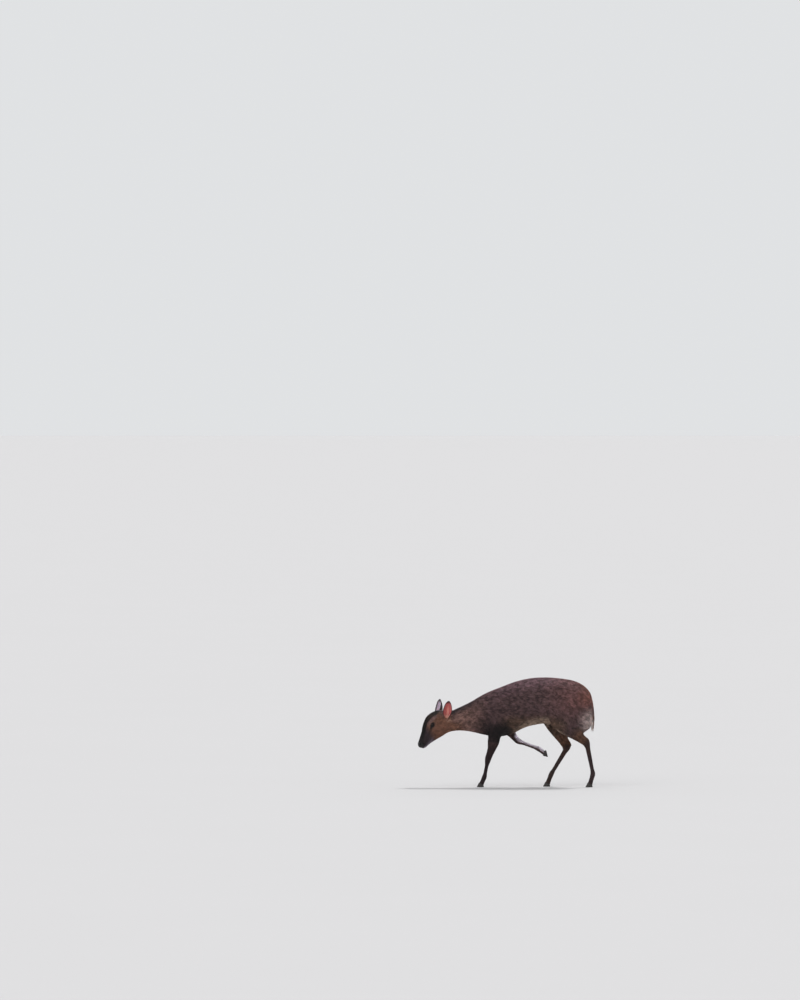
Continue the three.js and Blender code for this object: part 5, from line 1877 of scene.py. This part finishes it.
@dataclass
class EarHair:
    """Short fur behind an ear, a fringe on its edge, and long pale hair within."""

    ear: Ear
    outer_spacing: float = 1.15
    inner_spacing: float = 4.2
    tip_spacing: float = 5.5
    turn: float = 14
    slim: float = 0.55
    half_width: float = 22
    below: float = 8
    whole: float = 94

    def grow(self, obj: Object) -> Object:
        """Grows the hair of one ear."""
        ear = self.ear
        surface = Surface(obj)
        inside = ear.inside(surface.points, surface.normals)
        spacing = mix(np.full(len(inside), self.outer_spacing), self.inner_spacing, inside)
        high = ear.local(surface.points)[:, 2] > 58
        spacing = np.where((inside > 0.5) & high, self.tip_spacing, spacing)
        coat = Coat(surface, turn=self.turn, rng=np.random.default_rng(SEED + ear.side))
        at, normals = surface.scatter(coat.thin(spacing), coat.rng)
        inside, local = ear.inside(at, normals), ear.local(at)
        along = np.tile(ear.axes[2], (len(at), 1))
        along += ear.axes[0] * (0.25 * np.sign(local[:, 0]) * (1 - inside))[:, None]
        pale = linear(MARKS.palette.white) * 0.8
        within = (inside * (1 - ear.rim(at)) * 0.7)[:, None]
        across = (local[:, 0] + self.half_width) / (2 * self.half_width) * 0.48 + 0.5 * (inside > 0.5)
        down = (local[:, 2] + self.below) / self.whole
        roots = Roots(
            at=at,
            normals=normals,
            ways=unit(flattened(along, normals)),
            length=mix(mix(4.6, 11.0, smooth(60, 10, local[:, 2])), 4.4, 1 - inside),
            depth=mix(0.75, 1.5, inside),
            place=np.clip(np.column_stack([across, down]), 0.01, 0.99),
            tint=mix(ear.tint(at, normals), pale, within),
            free=np.zeros(len(at), bool),
        )
        hair = coat.lay(roots, self.slim).mesh(f"ear_hair_{ear.side.label}")
        return dress(hair, COAT_MATERIAL)


# Floor, light and camera.
@dataclass
class Studio:
    """A pale floor, soft light, and a camera where the photograph's stood."""

    far: float = 40
    eye_height: float = 1.65
    aim: tuple[float, float] = (-479, 1291)
    lens: float = 320
    floor_radius: float = 900
    sky_colour: tuple[float, float, float, float] = (0.87, 0.885, 0.9, 1)
    sky_strength: float = 0.86

    def build(self) -> None:
        """Sets up everything round the doe."""
        bpy.context.scene.view_settings.view_transform = "Standard"
        self.floor()
        self.sky()
        self.lamp("key", (0.35, 0.6, 1.0), 2.2, 14)
        self.lamp("fill", (-0.6, -0.9, 0.75), 0.95, 50)
        self.camera()

    def floor(self) -> None:
        """A wide disc under her feet."""
        add = bpy.ops.mesh.primitive_circle_add
        disc = new_piece(add, "floor", vertices=96, radius=self.floor_radius, fill_type="NGON")
        disc.data.materials.append(FloorFinish().material())

    def sky(self) -> None:
        """Even pale light from all round."""
        world = bpy.data.worlds.new("pale_world")
        bpy.context.scene.world = world
        world.use_nodes = True
        back = next(node for node in world.node_tree.nodes if node.type == "BACKGROUND")
        back.inputs["Color"].default_value = self.sky_colour
        back.inputs["Strength"].default_value = self.sky_strength

    def lamp(self, name: str, way: Triple, strength: float, angle: float) -> None:
        """Soft light from far off, out of one direction."""
        light = bpy.data.lights.new(name, "SUN")
        light.energy = strength
        light.angle = math.radians(angle)
        obj = linked(name, light)
        obj.location = way
        obj.rotation_euler = (-Vector(way)).to_track_quat("-Z", "Y").to_euler()

    def camera(self) -> None:
        """A long lens across the grass, level with a person's eyes."""
        data = bpy.data.cameras.new("camera")
        data.lens = self.lens
        data.sensor_width = 36
        data.clip_end = 3000
        obj = linked("camera", data)
        target = Vector(DOE.to_frame(np.array([self.aim[0], 0.0, self.aim[1]])))
        obj.location = (target.x, -self.far, self.eye_height)
        obj.rotation_euler = (target - obj.location).to_track_quat("-Z", "Y").to_euler()
        bpy.context.scene.camera = obj


def main() -> None:
    """Builds the doe and her studio."""
    logging.basicConfig(level=logging.INFO, format="%(message)s")
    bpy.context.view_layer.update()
    skin = Skin().build()
    face = Surface(skin)
    lids = [Eyelids(side).build(face) for side in Side]
    for side in Side:
        Eyelids(side).clear(skin)
    for lid in lids:
        lid.data.shade_smooth()
    whole = joined([skin, *lids], "skin")
    mark(whole)
    dress(whole, SKIN_MATERIAL, [*FLESH, "tail"])
    for side in Side:
        Eye(side).build()
        ear = Ear(side)
        EarHair(ear).grow(ear.build())
    Feet().build()
    Coat(Surface(whole)).grow()
    Studio().build()


COAT_MATERIAL = CoatFinish().material()
SKIN_MATERIAL = SkinFinish().material()
EAR_MATERIAL = SkinFinish(name="ear_skin", roughness=0.6, glow=0.6).material()
EYE_MATERIAL = EyeFinish().material()
HORN_MATERIAL = HornFinish().material()


if __name__ == "__main__":
    main()
